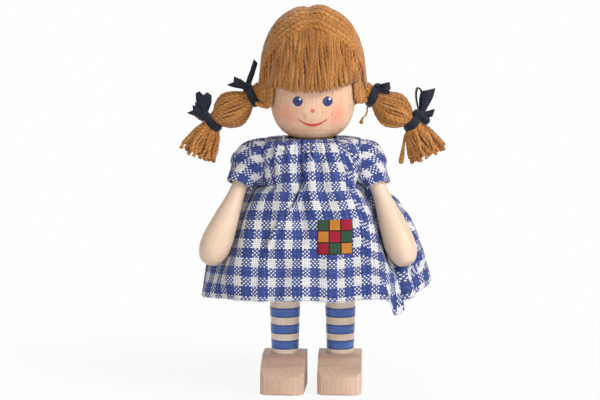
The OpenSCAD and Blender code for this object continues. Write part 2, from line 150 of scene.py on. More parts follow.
def smooth_path(points, count):
    """A smooth curve through points, with the same number of steps between each two."""
    p = np.asarray(points, float)
    p = np.concatenate([[2 * p[0] - p[1]], p, [2 * p[-1] - p[-2]]])
    s = np.linspace(0, len(p) - 3 - 1e-9, count)
    i = s.astype(int)
    t = (s - i)[:, None]
    a, b, c, d = p[i], p[i + 1], p[i + 2], p[i + 3]
    return 0.5 * (2 * b + (c - a) * t + (2 * a - 5 * b + 4 * c - d) * t ** 2
                  + (3 * b - a - 3 * c + d) * t ** 3)


# Mesh building

def new_object(name, data):
    obj = bpy.data.objects.new(name, data)
    bpy.context.scene.collection.objects.link(obj)
    return obj


def add_mesh(name, points, faces, uvs, materials, body=None, replaces=(), slot=None, tones=None,
             face_materials=None):
    """A piece from points in millimetres, with uvs and tones given for each point."""
    mesh = bpy.data.meshes.new(name)
    mesh.from_pydata((np.asarray(points, float) * MM).tolist(), [], faces)
    for material in materials:
        mesh.materials.append(material)
    corner_points = np.zeros(len(mesh.loops), int)
    mesh.loops.foreach_get("vertex_index", corner_points)
    layer = mesh.uv_layers.new(name="cloth")
    layer.data.foreach_set("uv", np.asarray(uvs, float)[corner_points].ravel())
    if tones is not None:
        layer = mesh.attributes.new("tone", "FLOAT", "POINT")
        layer.data.foreach_set("value", np.full(len(points), tones))
    if face_materials:
        mesh.polygons.foreach_set("material_index", face_materials)
    mesh.polygons.foreach_set("use_smooth", [True] * len(mesh.polygons))
    mesh.update()
    piece = new_object(name, mesh)
    if body:
        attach(piece, body)
    if replaces:
        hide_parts(*replaces)
    return piece


def grid_faces(rows, cols, closed=False, start=0):
    """Quads over a grid of points, joined round at the last column where it is closed."""
    ids = start + np.arange(rows * cols).reshape(rows, cols)
    if closed:
        ids = np.column_stack([ids, ids[:, 0]])
    corners = [ids[:-1, :-1], ids[:-1, 1:], ids[1:, 1:], ids[1:, :-1]]
    return np.stack(corners, -1).reshape(-1, 4).tolist()


def tube_faces(rows, cols, cap=True):
    faces = grid_faces(rows, cols, closed=True)
    ids = list(range(rows * cols))
    return faces + [ids[:cols][::-1], ids[-cols:]] if cap else faces


def tube(path, radii, sides=8, lobes=0, depth=0.0, pitch=3.0, phase=0.0, cap=True):
    """A tube along a path. Lobes that wind round it once in each pitch make it twisted yarn."""
    path = np.asarray(path, float)
    tangents = unit(np.gradient(path, axis=0))
    side = np.cross(tangents[0], (0.3, 0.5, 0.81))
    across = []
    for t in tangents:
        side = unit(side - t * np.dot(side, t))
        across.append(side)
    up = np.cross(tangents, across)
    lengths = lengths_along(path)[:, None]
    angle = TURN * np.arange(sides) / sides
    turn = angle - TURN * lengths / pitch - phase
    r = np.broadcast_to(radii, len(path))[:, None] * (1 + depth * np.cos(lobes * turn))
    ring = np.cos(angle)[:, None] * np.array(across)[:, None] + np.sin(angle)[:, None] * up[:, None]
    points = (path[:, None] + ring * r[:, :, None]).reshape(-1, 3)
    uvs = np.stack([turn / TURN, np.repeat(lengths, sides, 1)], -1).reshape(-1, 2)
    return points, tube_faces(len(path), sides, cap), uvs


class Batch:
    """Many small shapes that become one piece."""

    def __init__(self):
        self.points, self.faces, self.uvs, self.tones, self.slots = [], [], [], [], []
        self.count = 0

    def add(self, shape, tone=0.5, slot=0):
        points, faces, uvs = shape
        self.points.append(points)
        self.faces += [[i + self.count for i in face] for face in faces]
        self.uvs.append(uvs)
        self.tones.append(np.full(len(points), tone))
        self.slots += [slot] * len(faces)
        self.count += len(points)

    def strand(self, path, most=1.08, taper=1.0, pitches=(2.6, 4), depth=0.1, sides=8, tone_share=1.0):
        """A strand of two-ply yarn, with a thickness, a pitch, a phase and a tone of its own."""
        radii = YARN_R * draw(0.9, most) * taper
        shape = tube(path, radii, sides, 2, depth, draw(*pitches), draw(0, 6))
        self.add(shape, rng.random() * tone_share)

    def piece(self, name, slot, materials, body, replaces=()):
        add_mesh(name, np.concatenate(self.points), self.faces, np.concatenate(self.uvs), materials, body,
                 replaces, slot, np.concatenate(self.tones), self.slots)


# Materials

def arithmetic(kind):
    def result(value, other=0.0):
        return value.nodes.add("ShaderNodeMath", {0: value, 1: other}, operation=kind)
    return result


class Value:
    """What a shader node puts out. Arithmetic on it adds further nodes."""

    __add__ = arithmetic("ADD")
    __sub__ = arithmetic("SUBTRACT")
    __mul__ = arithmetic("MULTIPLY")
    __truediv__ = arithmetic("DIVIDE")
    __mod__ = arithmetic("MODULO")
    __lt__ = arithmetic("LESS_THAN")
    __gt__ = arithmetic("GREATER_THAN")
    __abs__ = arithmetic("ABSOLUTE")
    larger = arithmetic("MAXIMUM")
    floor = arithmetic("FLOOR")
    fract = arithmetic("FRACT")
    cosine = arithmetic("COSINE")

    def __init__(self, nodes, socket):
        self.nodes = nodes
        self.socket = socket


class Nodes:
    """The shader nodes of a material or of the world."""

    def __init__(self, owner):
        owner.use_nodes = True
        self.owner = owner
        self.tree = owner.node_tree

    def fill(self, node, values):
        """Joins a node's inputs to values of other nodes, or sets them to constants."""
        for key, value in values.items():
            if isinstance(value, Value):
                self.tree.links.new(value.socket, node.inputs[key])
            else:
                node.inputs[key].default_value = value

    def add(self, kind, values=None, out=0, **settings):
        node = self.tree.nodes.new(kind)
        for key, value in settings.items():
            setattr(node, key, value)
        self.fill(node, values or {})
        return Value(self, node.outputs[out])

    def mix(self, factor, a, b, blend="MIX"):
        """A colour between two colours."""
        return self.add("ShaderNodeMix", {0: factor, 6: a, 7: b}, 2, data_type="RGBA", blend_type=blend)

    def pick(self, factor, a, b):
        """A number between two numbers."""
        return self.add("ShaderNodeMix", {0: factor, 2: a, 3: b})

    def fade(self, value, low, high, start=0.0, end=1.0):
        """Goes from start, where the value is low, to end, where it is high."""
        return self.add("ShaderNodeMapRange", {0: value, 1: low, 2: high, 3: start, 4: end})

    def ramp(self, factor, stops, interpolation="LINEAR"):
        colour = self.add("ShaderNodeValToRGB", {0: factor})
        ramp = colour.socket.node.color_ramp
        ramp.interpolation = interpolation
        while len(ramp.elements) < len(stops):
            ramp.elements.new(0.5)
        for element, stop in zip(ramp.elements, stops):
            element.position, element.color = stop
        return colour

    def noise(self, vector, scale, detail, roughness=0.5, stretch=None):
        if stretch:
            vector = self.add("ShaderNodeMapping", {"Vector": vector, "Scale": stretch})
        return self.add("ShaderNodeTexNoise", {"Vector": vector, "Scale": scale, "Detail": detail,
                                               "Roughness": roughness})

    def position(self):
        return self.add("ShaderNodeTexCoord", out="Object")

    def uv(self):
        cloth = self.add("ShaderNodeUVMap", uv_map="cloth")
        return [self.add("ShaderNodeSeparateXYZ", {0: cloth}, k) for k in (0, 1)]

    def finish(self, colour, roughness, height, height_mm, specular, **others):
        """Sets the shader, and returns the finished material."""
        values = {key.replace("_", " "): value for key, value in others.items()}
        values["Base Color"] = colour
        values["Roughness"] = roughness
        values["Specular IOR Level"] = specular
        values["Normal"] = self.add("ShaderNodeBump", {"Height": height, "Distance": height_mm * MM})
        self.fill(self.tree.nodes["Principled BSDF"], values)
        return self.owner


def new_material(name):
    return Nodes(bpy.data.materials.new(name))


def grey(value):
    return (value, value, value, 1)


# Shades of wood: light, mid, dark and pores.
HEAD_WOOD = (srgb(234, 194, 162), srgb(222, 178, 145), srgb(203, 157, 125), srgb(166, 121, 92))
LIMB_WOOD = (srgb(232, 208, 184), srgb(222, 196, 170), srgb(208, 180, 153), srgb(178, 146, 118))
LEG_WOOD = (srgb(240, 222, 204), srgb(231, 211, 191), srgb(217, 195, 174), srgb(186, 162, 140))
FOOT_WOOD = (srgb(224, 191, 170), srgb(212, 178, 156), srgb(190, 156, 136), srgb(150, 116, 98))
# The cheeks' places and radius in metres.
CHEEKS = ((-0.0078, -0.0105, 0.0868), (0.0082, -0.0105, 0.0868))
CHEEK_R = 0.0046
# The painted bands: their levels on the leg, and the paint's dark, mid, light and rim.
BANDS = ((12.3, 15.2), (17.2, 20.2), (22.5, 25.5), (27.6, 30.5))
BAND_BLUES = (srgb(58, 88, 158), srgb(74, 108, 180), srgb(98, 134, 200), srgb(42, 56, 114))
BAND_RIM = 0.8
BAND_WAVE = 0.16


def wood(name, shades, along=(0, 0, 1), rings=(1, 1, 0.22), bands=False, blush=False, fibres=0.6,
         pores=0.6):
    """Pale close-grained wood under a thin matt varnish. Its fibres run along the given direction."""
    n = new_material(name)
    position = n.position()
    turn = Vector((0, 0, 1)).rotation_difference(Vector(along)).inverted().to_euler()
    laid = n.add("ShaderNodeMapping", {"Vector": position, "Rotation": turn})
    broad = n.noise(laid, 130, 3, 0.55, rings)
    fibre = n.noise(laid, 1250, 4, 0.65, (1, 1, 0.045))
    fleck = n.noise(laid, 2100, 2, 0.6, (1, 0.6, 0.09))
    light, mid, dark, pore = shades
    base = n.ramp(broad, [(0.3, light), (0.52, mid), (0.74, dark)])
    base = n.mix(n.fade(fibre, 0.42, 0.78, end=fibres), base, dark)
    base = n.mix(n.fade(fleck, 0.6, 0.7, end=pores), base, pore)
    roughness = 0.5
    if blush:
        base = add_blush(n, position, base)
    if bands:
        base, roughness = add_bands(n, position, base)
    return n.finish(base, roughness, fibre + fleck * 0.5, 0.03, 0.35, Coat_Weight=0.08, Coat_Roughness=0.4)


def add_blush(n, position, base):
    """Two soft rosy cheeks, breathed on by airbrush."""
    for cheek in CHEEKS:
        gap = n.add("ShaderNodeVectorMath", {0: position, 1: cheek}, "Value", operation="DISTANCE")
        share = n.ramp(gap / CHEEK_R, [(0.0, grey(0.5)), (0.45, grey(0.3)), (1.0, grey(0))], "EASE")
        base = n.mix(share, base, srgb(236, 132, 106))
    return base


def add_bands(n, position, base):
    """Bands of brushed gloss paint round a leg. They show a little grain, and are thicker at their rims."""
    wave = (n.noise(position, 260, 2) - 0.5) * (BAND_WAVE * MM)
    z = n.add("ShaderNodeSeparateXYZ", {0: position}, 2) + wave
    masks, rims = [], []
    for low, high in BANDS:
        half = (high - low) / 2 * MM
        off = abs(z - (low + high) / 2 * MM)
        masks.append(off < half)
        rims.append(n.fade(off, half - BAND_RIM * MM, half) * masks[-1])
    mask, rim = masks[0], rims[0]
    for other_mask, other_rim in zip(masks[1:], rims[1:]):
        mask, rim = mask.larger(other_mask), rim.larger(other_rim)
    dark, mid, light, edge = BAND_BLUES
    streak = n.noise(position, 700, 3, 0.6, (0.25, 0.25, 3.5))
    painted = n.ramp(streak, [(0.28, dark), (0.55, mid), (0.8, light)])
    painted = n.mix(rim * 0.85, painted, edge)
    return n.mix(mask, base, painted), mask * -0.2 + 0.46


def yarn(name, dark, mid, light):
    """Soft wool yarn: fine fibres run along it, and the grooves between plies lie in light shade."""
    n = new_material(name)
    u, v = n.uv()
    tone = n.add("ShaderNodeAttribute", out="Fac", attribute_name="tone")
    position = n.position()
    groove = (u * (2 * TURN)).cosine()
    along = n.add("ShaderNodeCombineXYZ", {0: u * 11.0, 1: v * 0.55, 2: tone})
    fibre = n.noise(along, 2.4, 4, 0.7)
    patch = n.noise(position, 240, 3, 0.6)
    shade = fibre + groove * 0.13 + tone * 0.3 + patch * 0.5 - 0.45
    colour = n.ramp(shade, [(0.1, dark), (0.47, mid), (0.9, light)])
    fuzz = n.noise(position, 5200, 2, 0.6)
    return n.finish(colour, 0.9, fibre + groove * 0.4 + fuzz * 0.5, 0.11, 0.15, Sheen_Weight=0.5,
                    Sheen_Roughness=0.4)


def weave(n, u, v):
    """Plain weave from cloth distances in threads: which thread is on top, how high, and the holes."""
    column, row = u.floor(), v.floor()
    x, y = u.fract() - 0.5, v.fract() - 0.5
    warp_over = (column + row + 4000.0) % 2.0 > 0.5
    across, along = n.pick(warp_over, y, x), n.pick(warp_over, x, y)
    height = across * across * -3.6 + along * along * -2.3 + 1.0
    return column, row, warp_over, height, n.fade(height, -0.12, 0.3, 1.0, 0.0)


def jitter(n, index, seed):
    """A number between 0 and 1 for each thread."""
    return n.add("ShaderNodeTexWhiteNoise", {1: index + seed}, noise_dimensions="1D")


def is_blue(index, blue, white):
    return (index + 400.0 * (blue + white)) % float(blue + white) > white - 0.5


def gingham(name):
    """Checks woven from single threads. Where blue and white meet, white threads show as small ovals."""
    n = new_material(name)
    u, v = n.uv()
    position = n.position()
    slip = (n.noise(position, 170, 3, 0.55) - 0.5) * 1.1
    column, row, warp_over, height, hole = weave(n, u / THREAD + slip, v / THREAD + slip * -0.8)
    warp, weft = is_blue(column, WARP_BLUE, WARP_WHITE), is_blue(row, WEFT_BLUE, WEFT_WHITE)
    rim_of_white = abs(warp - weft) * n.fade(height, 0.25, 0.62, 1.0, 0.0)
    blue = n.pick(warp_over, weft, warp).larger(rim_of_white)
    mark = n.pick(warp_over, jitter(n, row, 300.5), jitter(n, column, 90.5))
    whites = n.mix(mark, srgb(212, 210, 212), srgb(234, 232, 231))
    blues = n.ramp(mark, [(0.0, srgb(50, 62, 124)), (0.5, srgb(62, 78, 142)), (1.0, srgb(80, 96, 158))])
    colour = n.mix(blue, whites, blues)
    # The holes between threads get painted shade: grey among white threads, and where a blue thread lies
    # under, its own blue darkened by painted shade.
    shades = n.mix(warp.larger(weft), srgb(168, 166, 174), srgb(38, 46, 96))
    colour = n.mix(hole * 0.85, colour, shades)
    blotch = n.fade(n.noise(position, 900, 2), 0.3, 0.7, 0.6, 1.0)
    colour = n.mix(0.22, colour, blotch, "MULTIPLY")
    fuzz = n.noise(position, 4200, 2)
    return n.finish(colour, 0.9, fuzz * 0.35 + height, 0.09, 0.2, Sheen_Weight=0.08, Sheen_Roughness=0.5)


def patchwork(name, cell, line):
    """A small cotton print of nine plain squares with dark lines between."""
    n = new_material(name)
    u, v = n.uv()
    turn = ((u / cell).floor() + (v / cell).floor() * 2.0) % 3.0
    colour = n.mix(turn > 0.5, srgb(160, 30, 52), srgb(50, 80, 60))
    colour = n.mix(turn > 1.5, colour, srgb(196, 126, 46))
    for value in (u, v):
        off = abs((value / cell).fract() - 0.5)
        colour = n.mix(off > 0.5 - line / cell / 2, colour, srgb(48, 34, 36))
    height, hole = weave(n, u / PRINT_THREAD, v / PRINT_THREAD)[3:]
    # The holes between threads get a dark colour as painted shade.
    colour = n.mix(hole * 0.5, colour, srgb(60, 40, 42))
    return n.finish(colour, 0.88, height, 0.05, 0.2, Sheen_Weight=0.1)


def ribbon_cloth(name):
    """Dark blue ribbed ribbon. Its colour is painted darker in the valleys between the ribs, as shade."""
    n = new_material(name)
    rib = (n.uv()[1] * (TURN / RIBBON_RIB)).cosine()
    fibre = n.noise(n.position(), 2600, 3, 0.6)
    stops = [(0.3, srgb(10, 13, 24)), (0.55, srgb(22, 26, 43)), (0.8, srgb(44, 51, 74))]
    # rib * 0.12 paints shade between the ribs and lighter colour on their tops.
    return n.finish(n.ramp(rib * 0.12 + fibre, stops), 0.72, rib * 0.6 + fibre, 0.06, 0.3,
                    Sheen_Weight=0.25, Sheen_Roughness=0.4)


def paint(name, colour, roughness=0.28):
    """Enamel paint, laid on by brush."""
    n = new_material(name)
    swirl = n.noise(n.position(), 1400, 2)
    lighter = [min(1, c * 1.5 + 0.02) for c in colour[:3]]
    shade = n.mix(n.fade(swirl, 0.35, 0.75, end=0.3), colour, (*lighter, 1))
    return n.finish(shade, roughness, swirl, 0.015, 0.5)


def thread_material(name, colour):
    n = new_material(name)
    twist = n.noise(n.position(), 3000, 2)
    darker = [c * 0.55 for c in colour[:3]]
    shade = n.mix(n.fade(twist, 0.3, 0.8, end=0.5), colour, (*darker, 1))
    return n.finish(shade, 0.85, twist, 0.04, 0.2)


wool = yarn("wool_yarn", srgb(132, 78, 30), srgb(182, 118, 54), srgb(222, 164, 92))
# A darker copy of the yarn: painted shade for the skins under the strands.
wool_shade = yarn("wool_in_shade", srgb(84, 46, 16), srgb(128, 76, 32), srgb(150, 96, 46))
checks = gingham("gingham")
ribbon = ribbon_cloth("ribbon")
white_thread = thread_material("white_thread", srgb(236, 236, 238))
blue_thread = thread_material("blue_thread", srgb(60, 84, 172))


# Wooden pieces keep their solids and get wood that runs along each piece.

def arm_direction(side):
    a, f = SPLAY[side], ARM_FORWARD
    return np.array([side * math.sin(a), -math.cos(a) * math.sin(f), -math.cos(a) * math.cos(f)])


def dress_node(node, material):
    mesh = frame["nodes"][node].data
    mesh.materials.clear()
    mesh.materials.append(material)


def wooden_pieces():
    dress_node("head", wood("head_wood", HEAD_WOOD, blush=True))
    dress_node("torso", wood("body_wood", LIMB_WOOD, pores=0.3))
    for name, side in SIDES.items():
        limb = wood(f"{name}_arm_wood", LIMB_WOOD, arm_direction(side), fibres=0.32, pores=0.12)
        dress_node(f"{name}_arm", limb)
        limb = wood(f"{name}_leg_wood", LEG_WOOD, bands=True, fibres=0.3, pores=0.2)
        dress_node(f"{name}_leg", limb)
        limb = wood(f"{name}_foot_wood", FOOT_WOOD, (0.05 * side, 0.03, 1), (0.16, 2.6, 0.12),
                    fibres=0.8, pores=0.4)
        dress_node(f"{name}_foot", limb)
    dowel = wood("dowel_wood", LIMB_WOOD, (1, 0, 0))
    for node in ("shoulder_peg", "hip_peg", "right_shoulder_cap", "left_shoulder_cap",
                 "right_hip_cap", "left_hip_cap"):
        dress_node(node, dowel)
    dress_node("neck_peg", wood("neck_wood", LIMB_WOOD))
    dress_node("neck_cord", white_thread)


# The hair

# The middle from which the hank's planes fan out, and the place of the stitched parting.
POLE = np.array([0, 1.0, 91.6])
PARTING_X = -1.3
HANK_SPACING = 0.6
LOCKS_R = 14.0


def egg_r(z, grow):
    """Radius of the wooden head at a level, grown all round by an amount."""
    low = z < HEAD_MID_Z
    power = np.where(low, 2.6, 2.2)
    reach = np.where(low, CHIN_DROP, CROWN_RISE) + grow
    t = np.clip(np.abs(z - HEAD_MID_Z) / reach, 0, 1)
    return (HEAD_R + grow) * (1 - t ** power) ** (1 / power)


def dome_r(z):
    """Radius of the hair round the head at a level."""
    t = np.clip((z - HEAD_MID_Z) / (HAIR_TOP_Z - HEAD_MID_Z), 0, 1)
    upper = HAIR_R * (1 - t ** 2.5) ** 0.4
    lower = np.interp(z, [NAPE_Z, NAPE_Z + 3, HEAD_MID_Z - 2], [13.2, 15.1, HAIR_R - 0.5])
    return np.where(z < HEAD_MID_Z, np.where(z < HEAD_MID_Z - 2, lower, HAIR_R - 0.15), upper)


def crown_points(x, elevation, inset):
    """Points below the hair's surface at each x, in planes through both ties at the elevations."""
    x, elevation, inset = np.broadcast_arrays(x, elevation, inset)
    dy, dz = -np.cos(elevation), np.sin(elevation)
    low, high = np.zeros(x.shape), np.full(x.shape, 32.0)
    for _ in range(24):
        middle = (low + high) / 2
        y, z = POLE[1] + dy * middle, POLE[2] + dz * middle
        inside = (np.hypot(x, y) < dome_r(z)) & (z < HAIR_TOP_Z)
        low, high = np.where(inside, middle, low), np.where(inside, high, middle)
    h = np.maximum(low - inset, 0)
    return np.stack([x, POLE[1] + dy * h, POLE[2] + dz * h], -1)


def crown_elevations():
    """Elevations from the hairline in front to the nape, evenly spaced over the top of the head."""
    fine = np.radians(np.linspace(58, 206, 400))
    lengths = lengths_along(crown_points(0.0, fine, 0.0))
    return np.interp(np.arange(0, lengths[-1], HANK_SPACING), lengths, fine)


def backing(name, grid, flat_axes):
    """A plain skin under the strands, in a darker yarn colour that is painted shade."""
    points = grid.reshape(-1, 3)
    add_mesh(name, points, grid_faces(*grid.shape[:2]), points[:, flat_axes], [wool_shade], "head",
             slot="yarn", tones=0.3)


def crown():
    """A hank of yarn laid crosswise over the crown, from tie to tie, stitched down along a parting."""
    batch = Batch()
    elevations = crown_elevations()
    s = np.linspace(-1, 1, 46)
    x = (HAIR_R - 1.0) * np.sin(s * math.pi / 2 * 0.985)
    hump = 0.75 * bell(x, 2.6, 2.2) + 0.3 * bell(x, -4.3, 2.4)
    dip = 0.55 * bell(x, PARTING_X, 0.8)
    for k, e in enumerate(elevations):
        front_share = 1 - ease(70, 120, math.degrees(e))
        e_here = e + draw(-0.008, 0.008) + draw(-0.013, 0.013) * np.sin(2.4 * s + k)
        e_here = e_here + 0.05 * bell(x, PARTING_X, 3.5) * front_share
        inset = 0.95 + draw(-0.12, 0.2) + dip - hump * (0.4 + 0.6 * front_share)
        crowd = ease(0.72, 1.0, np.abs(s)) * (k % 4) * 0.5
        path = crown_points(x, e_here, inset + crowd)
        for end, mark in ((0, -1), (-1, 1)):
            y, z = POLE[1] + draw(-1.5, 1.5), POLE[2] + draw(-1.2, 1.2)
            path[end] = (mark * (HAIR_R + 0.2), y, z)
        batch.strand(path, 1.1)
    curtains(batch)
    batch.piece("crown_yarn", "yarn", [wool], "head", ["hair_cap"])
    grid = crown_points(np.linspace(-15.4, 15.4, 31)[None], elevations[::3][:, None], 1.35)
    backing("crown_backing", grid, [0, 1])


def curtains(batch):
    """Locks that come down beside the face from under the fringe and turn back up into each tie."""
    for mark, count, low_z, inner_x in ((-1, 14, 87.9, 12.3), (1, 10, 89.2, 13.0)):
        inner_y = math.sqrt(LOCKS_R ** 2 - inner_x ** 2)
        for k in range(count):
            share = k / (count - 1)
            low = low_z + 2.2 * share ** 1.3 + 1.1 * (1 - share) ** 4 + draw(-0.12, 0.12)
            x, y = inner_x + (15.8 - inner_x) * share, -inner_y + (inner_y - 1.4) * share
            knots = [(x * 0.93, y, 103.5), (x * 0.975, y, 98.5), (x, y, 95.2),
                     (x + 0.2, y + 0.1, 92.4 + 0.5 * share), (x + 0.6 - 0.3 * share, y * 0.86, low + 0.9),
                     (x + 1.4 - 0.8 * share, y * 0.6, low), (17.3, y * 0.24, low + 0.75),
                     (18.4, 0.2 + share, 90.2 + share * 1.4)]
            path = smooth_path(np.array(knots) * (mark, 1, 1), 36)
            batch.strand(path, depth=0.12)


def fringe_strand(batch, layer, k, share, inset):
    """One strand from under the hank down to the forehead. The share goes from -1 to 1 across."""
    t = np.linspace(0, 1, 30)
    around = share * math.radians(80) + draw(-0.008, 0.008)
    x_low = 15.7 * math.sin(around)
    x_high = x_low * (0.80 + 0.19 * ease(12.5, 15.7, abs(x_low)))
    start = FRINGE_Z + math.sqrt(max(ARCH_R ** 2 - x_high ** 2, 1)) + 1.3
    end = FRINGE_Z - 0.9 + 0.0125 * (x_low + 1.9) ** 2 + 0.25 * ease(0, 13, x_low)
    end += draw(-0.25, 0.4) + 0.3 * (1 - layer)
    z = start + (end - start) * t
    sway = draw(0.08, 0.26) * np.sin(t * draw(5, 11) + k * 2.3)
    sway += 0.3 * np.sin(1.3 * x_high + 5.2 * t) + draw(-0.4, 0.4) * (t - 0.5)
    x = x_high + (x_low - x_high) * t ** 0.85 + sway * ease(0, 0.3, t)
    ripple = draw(0.05, 0.2) * np.sin(t * draw(8, 15) + k)
    out = dome_r(z) - inset - 1.1 * ease(0.16, 0.0, t) + 0.12 * math.sin(k * 2.1) + ripple
    out = out - 0.5 * ease(0.7, 1, t)
    x = np.clip(x, -out * 0.992, out * 0.992)
    y = -np.sqrt(np.maximum(out ** 2 - x ** 2, 0.02))
    taper = 1 - 0.3 * ease(0.95, 1, t)
    batch.strand(np.stack([x, y, z], -1), taper=taper, pitches=(2.4, 3.8))


def fringe():
    """Two rows of yarn that hang over the forehead."""
    batch = Batch()
    for layer, (count, inset) in enumerate(((52, 1.4), (58, 0.8))):
        for k in range(count):
            share = (k + 0.5 * (layer + 1)) / (count + 0.5) * 2 - 1
            fringe_strand(batch, layer, k, share, inset)
    batch.piece("fringe_yarn", "yarn", [wool], "head", ["fringe"])
    z = np.linspace(FRINGE_Z + 1.4, 112.2, 20)[:, None]
    angles = np.radians(np.linspace(-76, 76, 33))
    out = dome_r(z) - 1.5 - 0.6 * ease(98, 95, z)
    grid = np.stack(np.broadcast_arrays(out * np.sin(angles), -out * np.cos(angles), z), -1)
    backing("fringe_backing", grid, [0, 2])


def bunch_axes(side):
    """Start, direction and upward cross direction of a bunch."""
    along = np.array([side * math.cos(BUNCH_DROOP), 0, -math.sin(BUNCH_DROOP)])
    lift = np.array([side * math.sin(BUNCH_DROOP), 0, math.cos(BUNCH_DROOP)])
    return BUNCH_START * (side, 1, 1), along, lift


def turned(along, lift, turn):
    """The directions turned further down by an angle."""
    return along * math.cos(turn) - lift * math.sin(turn), lift * math.cos(turn) + along * math.sin(turn)


# Radius of a bunch by the way along it from the inner tie.
BUNCH_PROFILE = ((-4, 3.1), (-1.6, TIE_R), (1.6, TIE_R), (4.4, BUNCH_R * 0.82), (7.7, BUNCH_R),
                 (11.0, BUNCH_R * 0.8), (13.2, TIE_R), (17, TIE_R))


def bunch(side_name, side):
    """Three layers of strands that swell between the two ties."""
    start, along, lift = bunch_axes(side)
    profile = smooth_path(BUNCH_PROFILE, 60)
    s = np.linspace(-3.5, BUNCH_LEN + 1.0, 30)
    batch = Batch()
    # The inner layers get only the darker tones, as painted shade under the outer strands.
    for count, share, tone_share in ((44, 1.0, 1.0), (30, 0.84, 0.4), (16, 0.6, 0.4)):
        for k in range(count):
            angle = TURN * (k + draw(-0.25, 0.25)) / count
            r = np.interp(s, profile[:, 0], profile[:, 1]) * share - YARN_R
            r *= 1 + draw(-0.05, 0.05) * np.sin(math.pi * s / BUNCH_LEN)
            angle = angle + 0.16 * np.sin(s / 5 + k) * draw(0.3, 1) + 0.03 * s
            path = start + np.outer(s, along) + circle(FRONT, lift, angle, r)
            batch.strand(path, sides=7, tone_share=tone_share)
    if side > 0:
        knots = ((0.2, 3), (1.4, 5.6), (1.2, 7.6), (1.7, 9.2))
        loose = [start + along * out - lift * down for out, down in knots]
        radii = YARN_R * np.interp(np.linspace(0, 1, 22), [0, 0.6, 0.8, 0.95, 1], [0.6, 0.5, 1.1, 1.5, 1.1])
        batch.add(tube(smooth_path(loose, 22), radii, 8, 2, 0.1, 2.4), 0.6)
    batch.piece(f"{side_name}_bunch_yarn", "yarn", [wool], "head", [f"{side_name}_bunch"])


def tassel(side_name, side):
    """Loose ends that flare below the outer tie, with a stray strand and on the left a hanging one."""
    start, along, lift = bunch_axes(side)
    origin = start + along * BUNCH_LEN
    down, out = turned(along, lift, TASSEL_TURN)
    batch = Batch()
    for count, share in ((30, 1.0), (24, 0.8), (18, 0.55), (9, 0.25)):
        for k in range(count):
            angle = TURN * (k + draw(-0.4, 0.4)) / count
            length = TASSEL_LEN + draw(-2.6, 0.4) * (0.6 + 0.4 * share)
            s = np.linspace(-1.5, length, 22)
            flare = np.interp(s, [-2, 1.6, 4, 8, TASSEL_LEN], [2.3, 2.5, 3.9, 5.0, 5.4]) * share
            flare = flare * (1 + draw(-0.12, 0.12) * ease(2, 10, s))
            bend = draw(-0.8, 0.8) * ease(3, 12, s)
            angle = angle + 0.06 * np.sin(s * 0.9 + k)
            path = origin + np.outer(s, down) + np.outer(bend, FRONT + 0.4 * out)
            path += circle(FRONT, out, angle, flare)
            taper = 1 + 0.35 * ease(0.8, 1, s / length)
            batch.strand(path, 1.1, taper, (2.2, 3.4), 0.12, 7)
    sideways = unit(np.array([side * 0.9, 0, 0.42]))
    stray = [origin + sideways * q + down * d for q, d in ((1.5, 0.5), (3.6, 0.7), (5.4, 0.4), (7.2, -0.2))]
    batch.add(tube(smooth_path(stray, 18), YARN_R * 0.95, 8, 2, 0.12, 2.4), 0.6)
    if side > 0:
        steps = ((-0.6, -0.4, -1.0), (-2.3, -1.0, -4.0), (-2.9, -1.2, -7.2), (-3.3, -1.0, -10.2),
                 (-3.7, -0.7, -12.8))
        radii = YARN_R * np.interp(np.linspace(0, 1, 26), [0, 0.5, 0.78, 0.95, 1], [0.9, 1.0, 1.7, 1.8, 1.3])
        batch.add(tube(smooth_path(origin + np.array(steps), 26), radii, 9, 3, 0.12, 2.6), 0.45)
    batch.piece(f"{side_name}_tassel_yarn", "yarn", [wool], "head", [f"{side_name}_tassel"])


# Ribbons

# For each ribbon: the knot's lumps by place and size; the loops by lean, forward share, length, width, the
# way that they open and their fatness; the tails by lean, forward share, length, widths, teeth, slant, curl
# and twist. Leans and openings are in degrees.
BOWS = {
    ("right", "outer"): (
        [(0, 0, 0, (1.6, 1.7, 1.3)), (0.7, 0.7, 0.3, (1.2, 1.2, 1.0))],
        [(20, -0.1, 4.6, 2.6, 60, 0.2)],
        [(2, 0.1, 7.0, (2.0, 4.9), 2, 0.07, -0.08, 0.1), (62, 0.35, 4.8, (1.6, 3.2), 1, 0.0, 0.1, -0.3)]),
    ("left", "outer"): (
        [(0, 0, 0, (2.0, 1.8, 1.7)), (1.7, 0.2, 0.5, (1.7, 1.3, 1.3)), (-1.2, -0.5, 0.6, (1.5, 1.3, 1.4))],
        [(-6, 0.05, 8.6, 1.8, 12, 0.11)],
        [(15, 0.0, 8.4, (1.6, 4.2), 0, -0.12, 0.05, 0.2), (76, 0.3, 4.0, (1.6, 2.2), 0, 0.2, -0.1, 0.3)]),
    ("right", "inner"): (
        [(0, 0, 0, (1.5, 1.5, 1.2))],
        [(58, 0.45, 3.4, 2.4, 80, 0.26)],
        [(-19, -0.1, 8.6, (1.6, 1.6), 0, 0.06, 0.03, 0.3), (66, 0.45, 5.2, (1.6, 3.3), 1, 0.1, -0.12, 0.0)]),
    ("left", "inner"): (
        [(0, 0, 0, (1.5, 1.5, 1.3)), (2.4, 0.3, 0.9, (1.6, 1.1, 0.9)), (1.3, 0.9, 0.1, (1.4, 1.1, 0.8))],
        [(80, 0.35, 3.5, 2.4, 84, 0.3)],
        [(102, 0.9, 3.0, (1.6, 2.2), 0, 0.1, 0.1, 0.2)])}
TOOTH = 0.5
# A wound ribbon's section, in half widths and half thicknesses.
SECTION = ((-1, 0), (-0.9, 1), (-0.3, 1), (0.3, 1), (0.9, 1), (1, 0), (0.9, -1), (0.3, -1), (-0.3, -1),
           (-0.9, -1))


